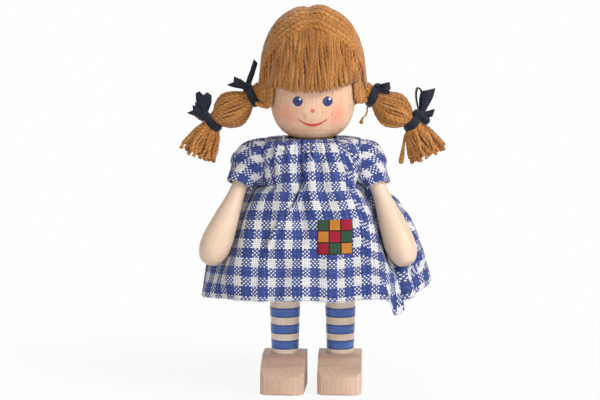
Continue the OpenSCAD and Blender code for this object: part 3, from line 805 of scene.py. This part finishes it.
def strip(path, widths, across):
    """A flat strip along a path, as a closed band with a rounded edge."""
    tangents = unit(np.gradient(path, axis=0))
    across = unit(across - tangents * (tangents @ across)[:, None])
    normal = np.cross(tangents, across)
    lengths = lengths_along(path)
    rings, uvs = [], []
    for w, t in SECTION:
        sag = 0.1 * np.sin(lengths * 1.3 + w * 1.5)[:, None]
        rings.append(path + across * (w * widths / 2)[:, None] + normal * (t * WOUND_THICK / 2 + sag))
        uvs.append(np.stack([np.full(len(path), w), lengths], -1))
    points, uvs = np.stack(rings, 1).reshape(-1, 3), np.stack(uvs, 1).reshape(-1, 2)
    return points, tube_faces(len(path), len(SECTION)), uvs


def lump(centre, axes, sizes):
    """The knot: a squashed ball with grooves where the ribbon passes over itself."""
    rows, cols = 17, 26
    polar = (math.pi * np.arange(rows) / (rows - 1))[:, None]
    angle = TURN * np.arange(cols) / cols
    ball = [np.sin(polar) * np.cos(angle), np.sin(polar) * np.sin(angle), np.cos(polar) + 0 * angle]
    swell = 1 - 0.16 * bell(ball[0], 0, 0.18) + 0.08 * np.sin(5 * angle + 3 * polar)
    points = centre + (np.stack(ball, -1) * sizes * swell[..., None]) @ np.array(axes)
    uvs = np.stack([ball[0] * 2, angle * 1.2 + 0 * polar], -1)
    return points.reshape(-1, 3), grid_faces(rows, cols, closed=True), uvs.reshape(-1, 2)


def ribbon_sheet(batch, grid, lengths):
    """A flat ribbon from a grid of points, ribbed along its length and closed round its edge."""
    rows, cols = grid.shape[:2]
    normal = unit(np.cross(np.gradient(grid, axis=0), np.gradient(grid, axis=1)))
    shift = normal * RIBBON_THICK / 2
    points = np.concatenate([grid + shift, grid - shift]).reshape(-1, 3)
    ids = np.arange(rows * cols).reshape(rows, cols)
    front = np.array(grid_faces(rows, cols))
    rim = np.concatenate([ids[0], ids[1:, -1], ids[-1, -2::-1], ids[-2:0:-1, 0]])
    before = np.roll(rim, 1)
    edge = np.stack([rim, before, before + ids.size, rim + ids.size], -1)
    faces = np.concatenate([front, front[:, ::-1] + ids.size, edge]).tolist()
    across = np.broadcast_to(np.linspace(-1.5, 1.5, cols), (rows, cols))
    uvs = np.stack([across, np.broadcast_to(lengths, (rows, cols))], -1).reshape(-1, 2)
    batch.add((points, faces, np.concatenate([uvs, uvs])))


def tail(batch, base, heading, across, length, widths, teeth, slant, curl, twist):
    """A ribbon end that widens into a fan. Its end is cut in teeth by pinking shears, or slantwise."""
    t, w = np.linspace(0, 1, 24)[:, None], np.linspace(-1, 1, 29)
    normal = unit(np.cross(heading, across))
    tooth = TOOTH * (4 * np.abs((w * teeth / 2 + 0.5) % 1 - 0.5) - 1) if teeth else 0
    reach = (length * (1 + slant * w) + tooth) * t
    half = (widths[0] + (widths[1] - widths[0]) * ease(0, 0.8, t)) / 2
    turn = (twist * t)[..., None]
    side = across * np.cos(turn) + normal * np.sin(turn)
    lift = curl * length * t ** 2 + 0.22 * half * np.cos(2.6 * w) + 0.25 * np.sin(5 * t + 2 * w)
    grid = base + heading * reach[..., None] + side * (half * w)[..., None] + normal * lift[..., None]
    ribbon_sheet(batch, grid, reach)


def loop(batch, base, heading, deep, length, width, fat):
    """A loop of ribbon that leaves the knot, turns over and comes back. Deep is the way that it opens."""
    t = np.linspace(0, TURN, 44)
    out = length * (1 - np.cos(t)) / 2 + 0.2
    bulge = fat * length * np.sin(t) * (1 - 0.35 * np.cos(t))
    path = base + np.outer(out, heading) + np.outer(bulge, deep)
    widths = width * (0.42 + 0.58 * np.sin(t / 2) ** 0.8)
    across = unit(np.cross(heading, deep))
    grid = path[:, None] + across * (np.outer(widths, np.linspace(-1, 1, 11)) / 2)[..., None]
    ribbon_sheet(batch, grid, np.linspace(0, 2 * length, 44)[:, None])


def wound_ribbon(origin, along, lift):
    """Two turns of ribbon round the yarn, a little crossed."""
    turn = np.linspace(0, 2 * TURN, 90)
    r = TIE_R + 0.25 + 0.16 * np.sin(turn * 1.5)
    s = np.linspace(-0.75, 0.75, 90) + 0.25 * np.sin(turn)
    path = origin + np.outer(s, along) + circle(lift, FRONT, turn, r)
    return strip(path, 2.0 + 0.3 * np.sin(turn * 2.5), along)


def heading_of(side, lean, forward):
    """A direction that leans outward from upright by an angle, and forward by a share."""
    lean = math.radians(lean)
    heading = unit(np.array([side * math.sin(lean), 0, math.cos(lean)]) + FRONT * forward)
    return heading, unit(np.cross(FRONT, heading))


def bow(side_name, side, place):
    """One tied ribbon: its turns round the yarn, its knot, and the loops and tails that leave the knot."""
    origin, along, lift = bunch_axes(side)
    if place == "outer":
        origin = origin + along * BUNCH_LEN
        along, lift = turned(along, lift, TASSEL_TURN / 2)
    batch = Batch()
    batch.add(wound_ribbon(origin, along, lift))
    top = origin + lift * (TIE_R + 0.5) + FRONT * 0.9
    knots, loops, tails = BOWS[side_name, place]
    for out, up, forward, size in knots:
        batch.add(lump(top + along * out + lift * up + FRONT * forward, (along, FRONT, lift), size))
    for lean, forward, length, width, opening, fat in loops:
        heading, beside = heading_of(side, lean, forward)
        angle = math.radians(opening)
        deep = beside * math.cos(angle) + unit(np.cross(heading, beside)) * math.sin(angle)
        loop(batch, top, heading, deep, length, width, fat)
    for lean, forward, *shape in tails:
        tail(batch, top, *heading_of(side, lean, forward), *shape)
    batch.piece(f"{side_name}_{place}_bow", "ribbon", [ribbon], "head", [f"{side_name}_{place}_ribbon"])


# The smock: the same rows and creases as its solid, with finer folds added.

# Level, half width, depth in front, depth behind, and the middle's place from front to back.
DRESS_ROWS = (
    (78.4, 8.3, 8.3, 8.3, 0), (78.3, 14.2, 8.9, 8.7, 0), (76.8, SLEEVE_X, 10.6, 10.2, 0),
    (74.4, SLEEVE_X, 11.4, 10.8, 0), (71.3, SLEEVE_X, 12, 11.2, 0), (68, SLEEVE_X, 12.6, 11.8, 0),
    (64.4, SLEEVE_X, 13.4, 12.6, 0.6), (62.3, 20.6, 16.2, 13, 3.2), (59.5, 25.9, 16.6, 13.8, 3.2),
    (55.2, 29, 16.9, 15.2, 2.6), (49.8, 31.5, 17.4, 16.8, 1.9), (44.6, 33.2, 18.6, 18.6, 1.1),
    (40, 34.2, 20, 20.4, 0.5), (36, 34.9, 21.6, 21.9, 0.1), (33, 35.3, 22.8, 23, 0),
    (HEM_Z, 35.6, 23.9, 24, 0))
# Angle round from the front, width, depth, and the levels between which each runs.
CREASES = ((-16, 9, 1.7, 50, 80), (12, 9, 1.2, 58, 80), (-48, 10, 1.0, 44, 72), (44, 10, 1.1, 48, 74),
           (-30, 12, 1.4, 20, 46), (4, 12, 1.3, 20, 46), (34, 12, 1.5, 20, 50), (66, 10, 2.4, 20, 36),
           (-66, 10, 1.6, 20, 35), (150, 12, 1.4, 20, 70), (178, 11, 1.3, 45, 80), (-150, 12, 1.5, 20, 70),
           (-176, 12, 1.3, 20, 46), (122, 11, 1.3, 20, 55), (-122, 11, 1.3, 20, 55))
# Fine folds in front: level and x of each valley, its width, its depth and the cloth it hides. A ridge is a
# valley with a depth below zero.
VALLEYS = (
    (((79, -3.4), (73.4, -3.9), (66.9, -2.9), (60.9, -5.4), (56.9, -8.3), (53, -10.5)), 0.62, 1.75, 1.7),
    (((79.5, -10.6), (77, -8.8), (74, -6.2), (71.4, -3.9)), 0.55, 1.5, 1.3),
    (((79.5, -1.3), (75, -0.5), (72, 0.8), (69.6, 2.4)), 0.55, 1.2, 1.2),
    (((78, 8.8), (74, 11.8), (70, 14.2), (66, 16.4)), 0.6, 1.0, 0.9),
    (((79, 4.2), (75, 4.6), (70, 5.4), (65, 5.8)), 0.7, 0.7, 0.9),
    (((79, -12.2), (75, -12.6), (70, -12.0), (64, -12.6), (58, -14.2)), 0.8, 0.8, 0.9),
    (((55, -9.6), (50, -12.0), (45, -14.0), (41, -15.4)), 0.6, -0.75, 0.0),
    (((50, -15), (42, -17.5), (30, -20)), 1.8, 0.5, 0.0),
    (((48, 1.5), (40, 2.0), (30, 1.2)), 1.8, 0.4, 0.0),
    (((41, 25.6), (36, 27.2), (32, 28.6), (20, 29.8)), 0.9, 2.3, 0.0))
COLS = 480
ROWS_BETWEEN = 9
# Where the pattern of checks starts, in millimetres.
ACROSS_PHASE = 4.45
BACK_PHASE = 1.8
UP_PHASE = 1.7
SLEEVE_PHASE = 3.6


def dress_reach(a, z, w, depth_front, depth_back, mid):
    """How far the smock's skin is from its middle, at angles round from the front."""
    in_yoke = YOKE_LOW_Z < z < YOKE_TOP_Z
    power = 3 if in_yoke else 2.3
    depth = np.where(np.cos(a) > 0, depth_front, depth_back)
    if in_yoke:
        chord = math.sqrt(max(0, SLEEVE_R ** 2 - (z - SHOULDER_Z) ** 2))
        w = SLEEVE_X / (1 - (chord / depth) ** 3) ** (1 / 3)
    oval = ((np.abs(np.sin(a)) / w) ** power + (np.abs(np.cos(a)) / depth) ** power) ** (-1 / power)
    reach = oval - arm_room(a, z, oval, mid)
    for angle, width, deep, low, high in CREASES:
        gap = np.abs(np.degrees(a) - angle)
        gap = np.minimum(gap, 360 - gap)
        level = ease(low - 6, low + 4, z) * (1 - ease(high - 5, high + 1, z))
        reach = reach - deep * bump(gap / (1.6 * width)) * level
    if z > YOKE_LOW_Z:
        reach = np.minimum(reach, SLEEVE_X / np.maximum(0.01, np.abs(np.sin(a))))
    return reach


def sway(z):
    return SKIRT_SWAY * (1 - ease(48, 66, z))


def arm_room(a, z, reach, mid):
    """How much the cloth gives way to the arm that hangs beside it."""
    side = np.where(a < 0, -1, 1)
    splay = np.where(a < 0, SPLAY[-1], SPLAY[1])
    fall = np.cos(splay)
    s = (SHOULDER_Z - z) / (fall * math.cos(ARM_FORWARD))
    x = np.where(a < 0, ARM_X[-1], ARM_X[1]) + s * np.sin(splay) - side * sway(z)
    y = -s * fall * math.sin(ARM_FORWARD) - mid
    r = np.interp(s, [6, 12, 20, 27, 36], [6.7, 5.9, 5.5, 6.4, 6.2])
    along = x * np.sin(np.abs(a)) - y * np.cos(a)
    off = np.abs(x * np.cos(a) + y * np.sin(np.abs(a)))
    hold = ease(31, 37.5, z) * (1 - ease(66, 69, z))
    room = hold * np.maximum(0, reach - (np.hypot(x, y) - r)) * bump(off / (2.2 * r))
    return np.where(along > 0, room, 0)


def smock_grid(a):
    """Points of the smock over levels and columns."""
    rings = []
    for z, w, front, back, mid in DRESS_ROWS:
        r = dress_reach(a, z, w, front, back, mid)
        rings.append(np.stack([r * np.sin(a) + sway(z), mid - r * np.cos(a), np.full(COLS, z)], -1))
    rings.insert(0, rings[0] * (0.95, 0.95, 1) + (0, 0, 0.5))
    steps = len(rings) * ROWS_BETWEEN
    return smooth_path(np.array(rings).reshape(len(rings), -1), steps).reshape(steps, COLS, 3)


def smock_folds(a, points):
    """Moves the skin in and out for fine folds, and returns the cloth that the valleys hide."""
    x, y, z = np.moveaxis(points, -1, 0)
    move, hidden = np.zeros(x.shape), np.zeros(x.shape)
    for line, width, depth, cloth in VALLEYS:
        levels = np.array(line)[::-1]
        gap = x - np.interp(z, levels[:, 0], levels[:, 1])
        top, low = line[0][0], line[-1][0]
        hold = ease(low - 1, low + 9, z) if low > HEM_Z else 1.0
        hold = hold * (1 - ease(top - 0.5, top + 3, z)) * (np.cos(a) > 0)
        move -= depth * hold * bell(gap, 0, width)
        move += 0.45 * depth * hold * bell(gap, 1.9 * width, width)
        move += 0.3 * depth * hold * bell(gap, -1.9 * width, width)
        hidden += cloth * hold * ease(-width, width, gap)
    ripple = np.sin(a * 27 + 2 * np.sin(a * 3)) * 0.26 + np.sin(a * 43 + 1.3) * 0.14
    move += ease(68, 78.5, z) * ripple
    move += np.sin(a * 9 + 1.1 * np.sin(a * 4 + 0.5)) * 0.32 * (1 - ease(33, 52, z))
    for at in np.ndindex(x.shape):
        p = Vector((x[at] / 6.5, y[at] / 6.5, z[at] / 9.0))
        move[at] += 0.22 * noise.noise(p) + 0.1 * noise.noise(p * 2.7)
    yoke_side = (np.abs(x) > SLEEVE_X - 0.2) & (z > 64)
    outward = np.stack([np.sin(a), -np.cos(a), np.zeros(COLS)], -1)
    return points + outward * np.where(yoke_side, 0, move)[..., None], hidden


def cloth_distances(points, middle):
    """Cloth distances on a grid: across from the middle column, and up from the last row, square to it."""
    step = np.linalg.norm(np.diff(points, axis=1), axis=2)
    across = np.pad(np.cumsum(step, axis=1), ((0, 0), (1, 0)))
    along_row = unit(np.gradient(points, axis=1))
    tangent = (along_row[1:] + along_row[:-1]) / 2
    down = np.diff(points, axis=0)
    down = down - tangent * np.sum(down * tangent, axis=2, keepdims=True)
    drop = np.pad(np.cumsum(np.linalg.norm(down, axis=2), axis=0), ((1, 0), (0, 0)))
    return across - across[:, middle:middle + 1], drop[-1:] - drop


def averaged(rows, half, ends):
    """Each row of numbers, averaged with its neighbours on both sides."""
    share = np.ones(2 * half + 1) / (2 * half + 1)
    return np.array([np.convolve(np.pad(row, half, mode=ends), share, "valid") for row in rows])


def two_panels(points, first, second, up, behind, is_open=lambda point: False):
    """A grid as two panels with seams between: the columns behind take the second distances across."""
    rows, cols = points.shape[:2]
    flat = np.concatenate([points.reshape(-1, 3)] * 2)
    uvs = np.stack([np.stack([across, up], -1) for across in (first, second)]).reshape(-1, 2)
    faces = []
    for face in grid_faces(rows, cols):
        if not is_open(flat[face].mean(0)):
            shift = rows * cols if behind[face[0] % cols] else 0
            faces.append([i + shift for i in face])
    used, where = np.unique(faces, return_inverse=True)
    return flat[used], where.reshape(-1, 4).tolist(), uvs[used]


def cloth_piece(name, shape, material, body, replaces, slot):
    """A piece of cloth with a thickness."""
    piece = add_mesh(name, *shape, [material], body, replaces, slot)
    solid = piece.modifiers.new("thickness", "SOLIDIFY")
    solid.thickness = CLOTH * MM
    solid.offset = -1
    return piece


def in_armhole(point):
    return abs(point[0]) > SLEEVE_X - 0.25 and np.hypot(point[1], point[2] - SHOULDER_Z) < ARMHOLE_R


def smock():
    """The smock in a front and a back panel. Returns its points and the hem's cloth distances."""
    a = np.radians(np.linspace(-180, 180, COLS))
    points, hidden = smock_folds(a, smock_grid(a))
    degrees = np.degrees(a)
    spread = np.where(degrees < HEM_CORNER_A, 2.4, 11.0)
    corner = HEM_CORNER * bell(degrees, HEM_CORNER_A, spread) + np.sin(a * 7) * 0.3
    corner = corner - HEM_LIFT * bump((degrees - 92) / 30) + 1.3 * bump((degrees + 84) / 45)
    points[..., 2] -= (1 - ease(30, 44, points[..., 2])) * corner
    across, up = cloth_distances(points, COLS // 2)
    from_back = np.where(a > 0, across - across[:, -1:], across - across[:, :1])
    across = averaged((across + hidden).T, 11, "edge").T + ACROSS_PHASE
    from_back = averaged(from_back.T, 11, "edge").T + BACK_PHASE
    up = averaged(up, 12, "wrap") + UP_PHASE
    behind = np.abs(degrees + 0.5) > 90
    shape = two_panels(points, across, from_back, up, behind, in_armhole)
    piece = cloth_piece("smock", shape, checks, "torso", ["dress_front", "dress_back"], "gingham")
    return points, np.where(behind, from_back[-1], across[-1])


def fray(batch, edge, spacing, loose_end):
    """The raw edge of a cloth: a short loose end of each thread, with its path and its chance to be blue."""
    lengths = lengths_along(edge)
    for s in np.arange(0, lengths[-1], THREAD * spacing):
        path, chance = loose_end(s, point_at(s, lengths, edge))
        shape = tube(smooth_path(path, 5), draw(0.09, 0.13), 4)
        batch.add(shape, slot=int(chance > 0 and rng.random() < chance))


def hem_fray(points, hem_across):
    edge = points[-1]
    lengths = lengths_along(edge)

    def loose_end(s, p):
        out = unit(p * (1, 1, 0))
        drop = draw(0.1, 0.45) + (0.6 if rng.random() < 0.04 else 0)
        lean = draw(-0.25, 0.25)
        beside = np.array([-out[1], out[0], 0])
        path = [p + UP * 0.3 - out * 0.12, p - UP * drop * 0.5 - out * 0.1 + beside * lean * 0.3,
                p - UP * drop + out * draw(-0.2, 0.1) + beside * lean]
        blue = (np.interp(s, lengths, hem_across) / THREAD) % (WARP_BLUE + WARP_WHITE) > WARP_WHITE
        return path, 0.55 * blue

    batch = Batch()
    fray(batch, edge, 0.55, loose_end)
    batch.add(tube(smooth_path((edge + (0, 0, 0.05))[::3], 420), 0.15, 5, cap=False))
    batch.piece("hem_fray", "thread", [white_thread, blue_thread], "torso")


def sleeve_fray(side_name, edge, d):
    def loose_end(_, p):
        out = unit(p - edge.mean(axis=0))
        drop = draw(0.25, 0.7)
        beside = np.cross(out, d) * draw(-0.25, 0.25)
        return [p - d * 0.3 - out * 0.1, p + d * drop * 0.5 - out * 0.1, p + d * drop + beside], 0.5

    batch = Batch()
    fray(batch, edge, 0.6, loose_end)
    batch.piece(f"{side_name}_sleeve_fray", "thread", [white_thread, blue_thread], f"{side_name}_arm")


# How far the sleeve keeps off the shoulder's cap, the cap's reach, and how far it keeps off the arm.
CAP_ROOM_R = 3.68
CAP_REACH = 2.05
ARM_ROOM_R = 3.3


def kept_off(points, start, end, r):
    """Points moved out to a distance from a segment where they are nearer."""
    axis = end - start
    share = np.clip((points - start) @ axis / (axis @ axis), 0, 1)
    nearest = start + share[..., None] * axis
    away = points - nearest
    gap = np.linalg.norm(away, axis=-1, keepdims=True)
    return nearest + away / gap * np.maximum(gap, r)


def sleeve_surface(side, psi, shoulder, x_axis, d, outer, centre):
    """Points of a sleeve over the way along and the angle round, and those of its hem."""
    seam = np.array([side * (SLEEVE_X - 0.15), 0, SHOULDER_Z]) + circle(UP, FRONT, psi, SLEEVE_R)
    hem_wave = 1 + 0.04 * np.sin(3 * psi + side) + 0.02 * np.sin(7 * psi)
    hem = centre + circle(outer, np.cross(d, outer) * side, psi, SLEEVE_HEM_R[side] * hem_wave)
    reach = np.linalg.norm(hem - seam, axis=1)[:, None]
    top_share = (0.5 + 0.5 * np.cos(psi))[:, None]
    p1 = seam + x_axis * reach * (0.2 + 0.42 * top_share)
    p2 = hem - d * reach * (0.34 + 0.1 * top_share)
    t = np.linspace(0, 1, 40)[:, None, None]
    points = (1 - t) ** 3 * seam + 3 * (1 - t) ** 2 * t * p1 + 3 * (1 - t) * t ** 2 * p2 + t ** 3 * hem
    out = unit(points - points.mean(axis=1, keepdims=True))
    t = t[:, :, 0]
    gathers = 0.2 * np.sin(15 * psi + 1.5 * np.sin(2 * psi)) * bump((t - 0.1) / 0.4)
    soft = 0.28 * np.sin(5 * psi + 3 * t + side) * bump((t - 0.55) / 0.5)
    points = points + out * (gathers + soft)[..., None]
    points = kept_off(points, shoulder, shoulder + x_axis * CAP_REACH, CAP_ROOM_R)
    return kept_off(points, shoulder, shoulder + d * SLEEVE_LEN, ARM_ROOM_R), hem


def sleeve(side_name, side):
    """A short sleeve set into the armhole: its inner edge lies on the body, its hem round the arm."""
    d = arm_direction(side)
    x_axis = np.array([side, 0.0, 0.0])
    outer = unit(x_axis - d * np.dot(x_axis, d))
    shoulder = np.array([side * ARM_X[side], 0, SHOULDER_Z])
    centre = shoulder + d * SLEEVE_LEN + outer * 0.2
    cols = 132
    psi = np.linspace(0, TURN, cols)
    points, hem = sleeve_surface(side, psi, shoulder, x_axis, d, outer, centre)
    from_front, up = cloth_distances(points, cols // 4)
    from_back, _ = cloth_distances(points, 3 * cols // 4)
    shape = two_panels(points, from_front * side + ACROSS_PHASE, from_back * side + BACK_PHASE,
                       up + SLEEVE_PHASE, psi > math.pi - 0.01)
    piece = cloth_piece(f"{side_name}_sleeve_cloth", shape, checks, None, [f"{side_name}_sleeve"], "gingham")
    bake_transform(piece)
    sleeve_fray(side_name, hem, d)


POCKET_X = 1.5
POCKET_TOP_Z = 55.0
POCKET_W = 10.6
POCKET_H = 10.4
POCKET_CELLS = 3
POCKET_LINE = 0.42


def pocket_grid(points):
    """A grid of points laid on the front of the smock, a little lower at the three sewn sides."""
    flat = points.reshape(-1, 3)
    x, y, z = flat.T
    near_it = (y < 0) & (x > POCKET_X - 1) & (x < POCKET_X + POCKET_W + 1)
    front = flat[near_it & (z < POCKET_TOP_Z + 1) & (z > POCKET_TOP_Z - POCKET_H - 1)]
    last = 21
    grid = np.zeros((last + 1, last + 1, 3))
    for r, c in np.ndindex(last + 1, last + 1):
        x, z = POCKET_X + POCKET_W * c / last, POCKET_TOP_Z - POCKET_H * r / last
        near = front[np.argsort((front[:, 0] - x) ** 2 + (front[:, 2] - z) ** 2)[:6]]
        weight = 1 / (0.05 + np.hypot(near[:, 0] - x, near[:, 2] - z))
        y = (near[:, 1] * weight).sum() / weight.sum()
        grid[r, c] = (x, y - 0.14 - 0.16 * min(1, c / 3, (last - c) / 3, (last - r) / 3), z)
    return grid


def pocket(points):
    """A little pocket of checked print, laid on the front and stitched round three sides."""
    grid = pocket_grid(points)
    size = len(grid)
    uvs = (grid[..., [0, 2]] - (POCKET_X, POCKET_TOP_Z - POCKET_H)).reshape(-1, 2)
    shape = (grid.reshape(-1, 3), grid_faces(size, size), uvs)
    print_cloth = patchwork("print", POCKET_W / POCKET_CELLS, POCKET_LINE)
    piece = cloth_piece("print_pocket", shape, print_cloth, "torso", ["pocket"], "pocket_check")
    batch = Batch()
    rim = np.concatenate([grid[:, 0], grid[-1, 1:], grid[::-1, -1][1:]])
    lengths = lengths_along(rim)
    for s in np.arange(0.4, lengths[-1] - 0.8, 1.15):
        ends = np.array([point_at(s + step, lengths, rim) for step in (0, 0.35, 0.7)])
        inward = unit((grid[size // 2, size // 2] - ends[1]) * (1, 0, 1)) * 0.55
        path = ends + inward - np.outer((0.05, 0.32, 0.05), (0, 1, 0))
        batch.add(tube(smooth_path(path, 6), 0.1, 5))
    dark_thread = thread_material("dark_thread", srgb(60, 30, 34))
    batch.piece("pocket_stitches", "thread", [dark_thread], "torso")


def neck_thread():
    """A loose end of the gathering thread, drawn up at the neck."""
    batch = Batch()
    path = [(-8.0, -6.4, 77.6), (-8.7, -6.7, 78.5), (-9.1, -6.3, 79.3), (-8.8, -5.9, 79.9)]
    batch.add(tube(smooth_path(path, 14), 0.17, 6, 2, 0.15, 0.9))
    path = [(-8.9, -6.6, 78.4), (-8.0, -7.1, 78.9), (-7.2, -7.0, 78.6)]
    batch.add(tube(smooth_path(path, 10), 0.15, 6, 2, 0.15, 0.9))
    batch.piece("neck_thread", "thread", [white_thread], "torso")


# The face: a plain doll's face of two eyes, a dot of a nose and a smile.

EYE_X = 4.55
EYE_Z = 91.3
NOSE_Z = 88.4
SMILE_Z = 83.9


def face_points(x, z, lift):
    """Points on the head's own curve, lifted off it a little."""
    y = -np.sqrt(np.maximum(egg_r(z, lift) ** 2 - x * x, 0.01))
    return np.stack(np.broadcast_arrays(x, y, z), -1)


def paint_spot(name, x, z, radius, height, material, lift=0.02, squash=1.0):
    """A round dab of paint with a soft crown."""
    rows, cols = 7, 40
    share = (np.arange(1, rows) / (rows - 1))[:, None]
    angle = TURN * np.arange(cols) / cols
    u, v = share * np.cos(angle), share * np.sin(angle)
    rise = lift * (1 - share) + height * (1 - share ** 4) - 0.03 * share
    rings = face_points(x + radius * u * squash, z + radius * v, rise).reshape(-1, 3)
    points = np.concatenate([[face_points(x, z, lift + height)], rings])
    uvs = np.concatenate([[(0, 0)], np.stack([u, v], -1).reshape(-1, 2)])
    faces = [(0, 1 + c, 1 + (c + 1) % cols) for c in range(cols)]
    add_mesh(name, points, faces + grid_faces(rows - 1, cols, closed=True, start=1), uvs, [material], "head")


def smile(material):
    """A brushed smile, thickest in the middle."""
    s, q = np.linspace(-1, 1, 41)[:, None], np.linspace(-1, 1, 7)
    thick = 0.17 + 0.3 * (1 - s * s) ** 1.5 + 0.12 * bell(np.abs(s), 0.96, 0.06)
    grid = face_points(4.3 * s, SMILE_Z + 1.75 * s * s + thick * q, 0.1 * (1 - q * q) - 0.02)
    points = grid.reshape(-1, 3)
    add_mesh("smile", points, grid_faces(41, 7), points[:, [0, 2]], [material], "head")


def face():
    iris = paint("eye_paint", srgb(38, 42, 108))
    glint = paint("white_paint", srgb(240, 240, 244))
    red = paint("red_paint", srgb(196, 58, 46), 0.4)
    for side_name, side in SIDES.items():
        x = side * EYE_X
        paint_spot(f"{side_name}_eye", x, EYE_Z, 1.62, 0.1, iris)
        paint_spot(f"{side_name}_eye_glint", x + 0.62, EYE_Z + 0.65, 0.55, 0.06, glint, 0.13)
    paint_spot("nose", 0, NOSE_Z, 0.62, 0.08, paint("nose_paint", srgb(214, 104, 78), 0.4), squash=1.25)
    smile(red)


# Light, floor and camera

FLOOR_HALF = 3000
LAMPS = (("key", (0.7, -0.46, 0.64), (0, 0, 0.07), 0.42, 7.4),
         ("fill", (-0.5, -0.85, 0.25), (0, 0, 0.07), 0.7, 0.8),
         ("low", (0.12, -0.6, 0.05), (0, 0, 0.03), 0.5, 1.0),
         ("back", (0.1, 0.7, 0.7), (0, 0, 0.08), 0.6, 2.4))
# The photograph's size, and the camera's focal length and axis in its pixels.
IMAGE_W, IMAGE_H = 600, 400
FOCAL_PX = 2261
AXIS_PX = (312.7, 197.7)
SENSOR_W = 36
CAMERA_PLACE = (0, -0.700, 0.157)
CAMERA_DOWN = math.radians(7.9)


def whiten(n, output, share, shader, white):
    """Mixes in plain white where the camera sees it, also in a reflection or through glass."""
    seen = n.add("ShaderNodeLightPath", out="Is Camera Ray")
    for kind in ("Is Glossy Ray", "Is Transmission Ray"):
        seen = seen.larger(n.add("ShaderNodeLightPath", out=kind))
    mixed = n.add("ShaderNodeMixShader", {0: seen * share, 1: shader, 2: white})
    n.fill(n.tree.nodes[output], {0: mixed})


def floor():
    """White paper that keeps the shadow close to the doll."""
    n = new_material("floor_paper")
    position = n.position()
    shader = n.tree.nodes["Principled BSDF"]
    grain = n.fade(n.noise(position, 900, 2), 0.3, 0.7, 0.86, 0.88)
    n.fill(shader, {"Base Color": grain, "Roughness": 0.9})
    away = n.add("ShaderNodeVectorMath", {0: position}, "Value", operation="LENGTH")
    paper = n.add("ShaderNodeEmission", {0: grey(1), 1: 1.0})
    glow = n.fade(away, 0.04, 0.16, 0.88, 1.0)
    whiten(n, "Material Output", glow, Value(n, shader.outputs[0]), paper)
    corners = np.array([(-1, -1, 0), (1, -1, 0), (1, 1, 0), (-1, 1, 0)]) * FLOOR_HALF
    add_mesh("floor", corners, [(0, 1, 2, 3)], corners[:, :2], [n.owner])


def lamp(name, place, target, size, power):
    data = bpy.data.lights.new(name, "AREA")
    data.shape = "DISK"
    data.size = size
    data.energy = power
    obj = new_object(name, data)
    obj.location = place
    obj.rotation_euler = (Vector(target) - Vector(place)).to_track_quat("-Z", "Y").to_euler()


def world():
    studio = bpy.data.worlds.new("studio")
    bpy.context.scene.world = studio
    n = Nodes(studio)
    ambient = n.tree.nodes["Background"]
    n.fill(ambient, {0: grey(1), 1: 0.4})
    white = n.add("ShaderNodeBackground", {0: grey(1), 1: 1.0})
    whiten(n, "World Output", 1.0, Value(n, ambient.outputs[0]), white)


def camera():
    data = bpy.data.cameras.new("camera")
    data.sensor_width = SENSOR_W
    data.lens = SENSOR_W * FOCAL_PX / IMAGE_W
    data.shift_x = (IMAGE_W / 2 - AXIS_PX[0]) / IMAGE_W
    data.shift_y = (AXIS_PX[1] - IMAGE_H / 2) / IMAGE_W
    data.clip_start = 0.05
    obj = new_object("camera", data)
    obj.location = CAMERA_PLACE
    obj.rotation_euler = (math.pi / 2 - CAMERA_DOWN, 0, 0)
    bpy.context.scene.camera = obj


camera()
world()
floor()
for lamp_values in LAMPS:
    lamp(*lamp_values)
bpy.context.scene.view_settings.view_transform = "Standard"

wooden_pieces()
face()
crown()
fringe()
for hair_side_name, hair_side in SIDES.items():
    bunch(hair_side_name, hair_side)
    tassel(hair_side_name, hair_side)
for bow_side_name, bow_side in SIDES.items():
    bow(bow_side_name, bow_side, "inner")
    bow(bow_side_name, bow_side, "outer")
smock_points, smock_hem = smock()
hem_fray(smock_points, smock_hem)
for arm_side_name, arm_side in SIDES.items():
    sleeve(arm_side_name, arm_side)
pocket(smock_points)
neck_thread()
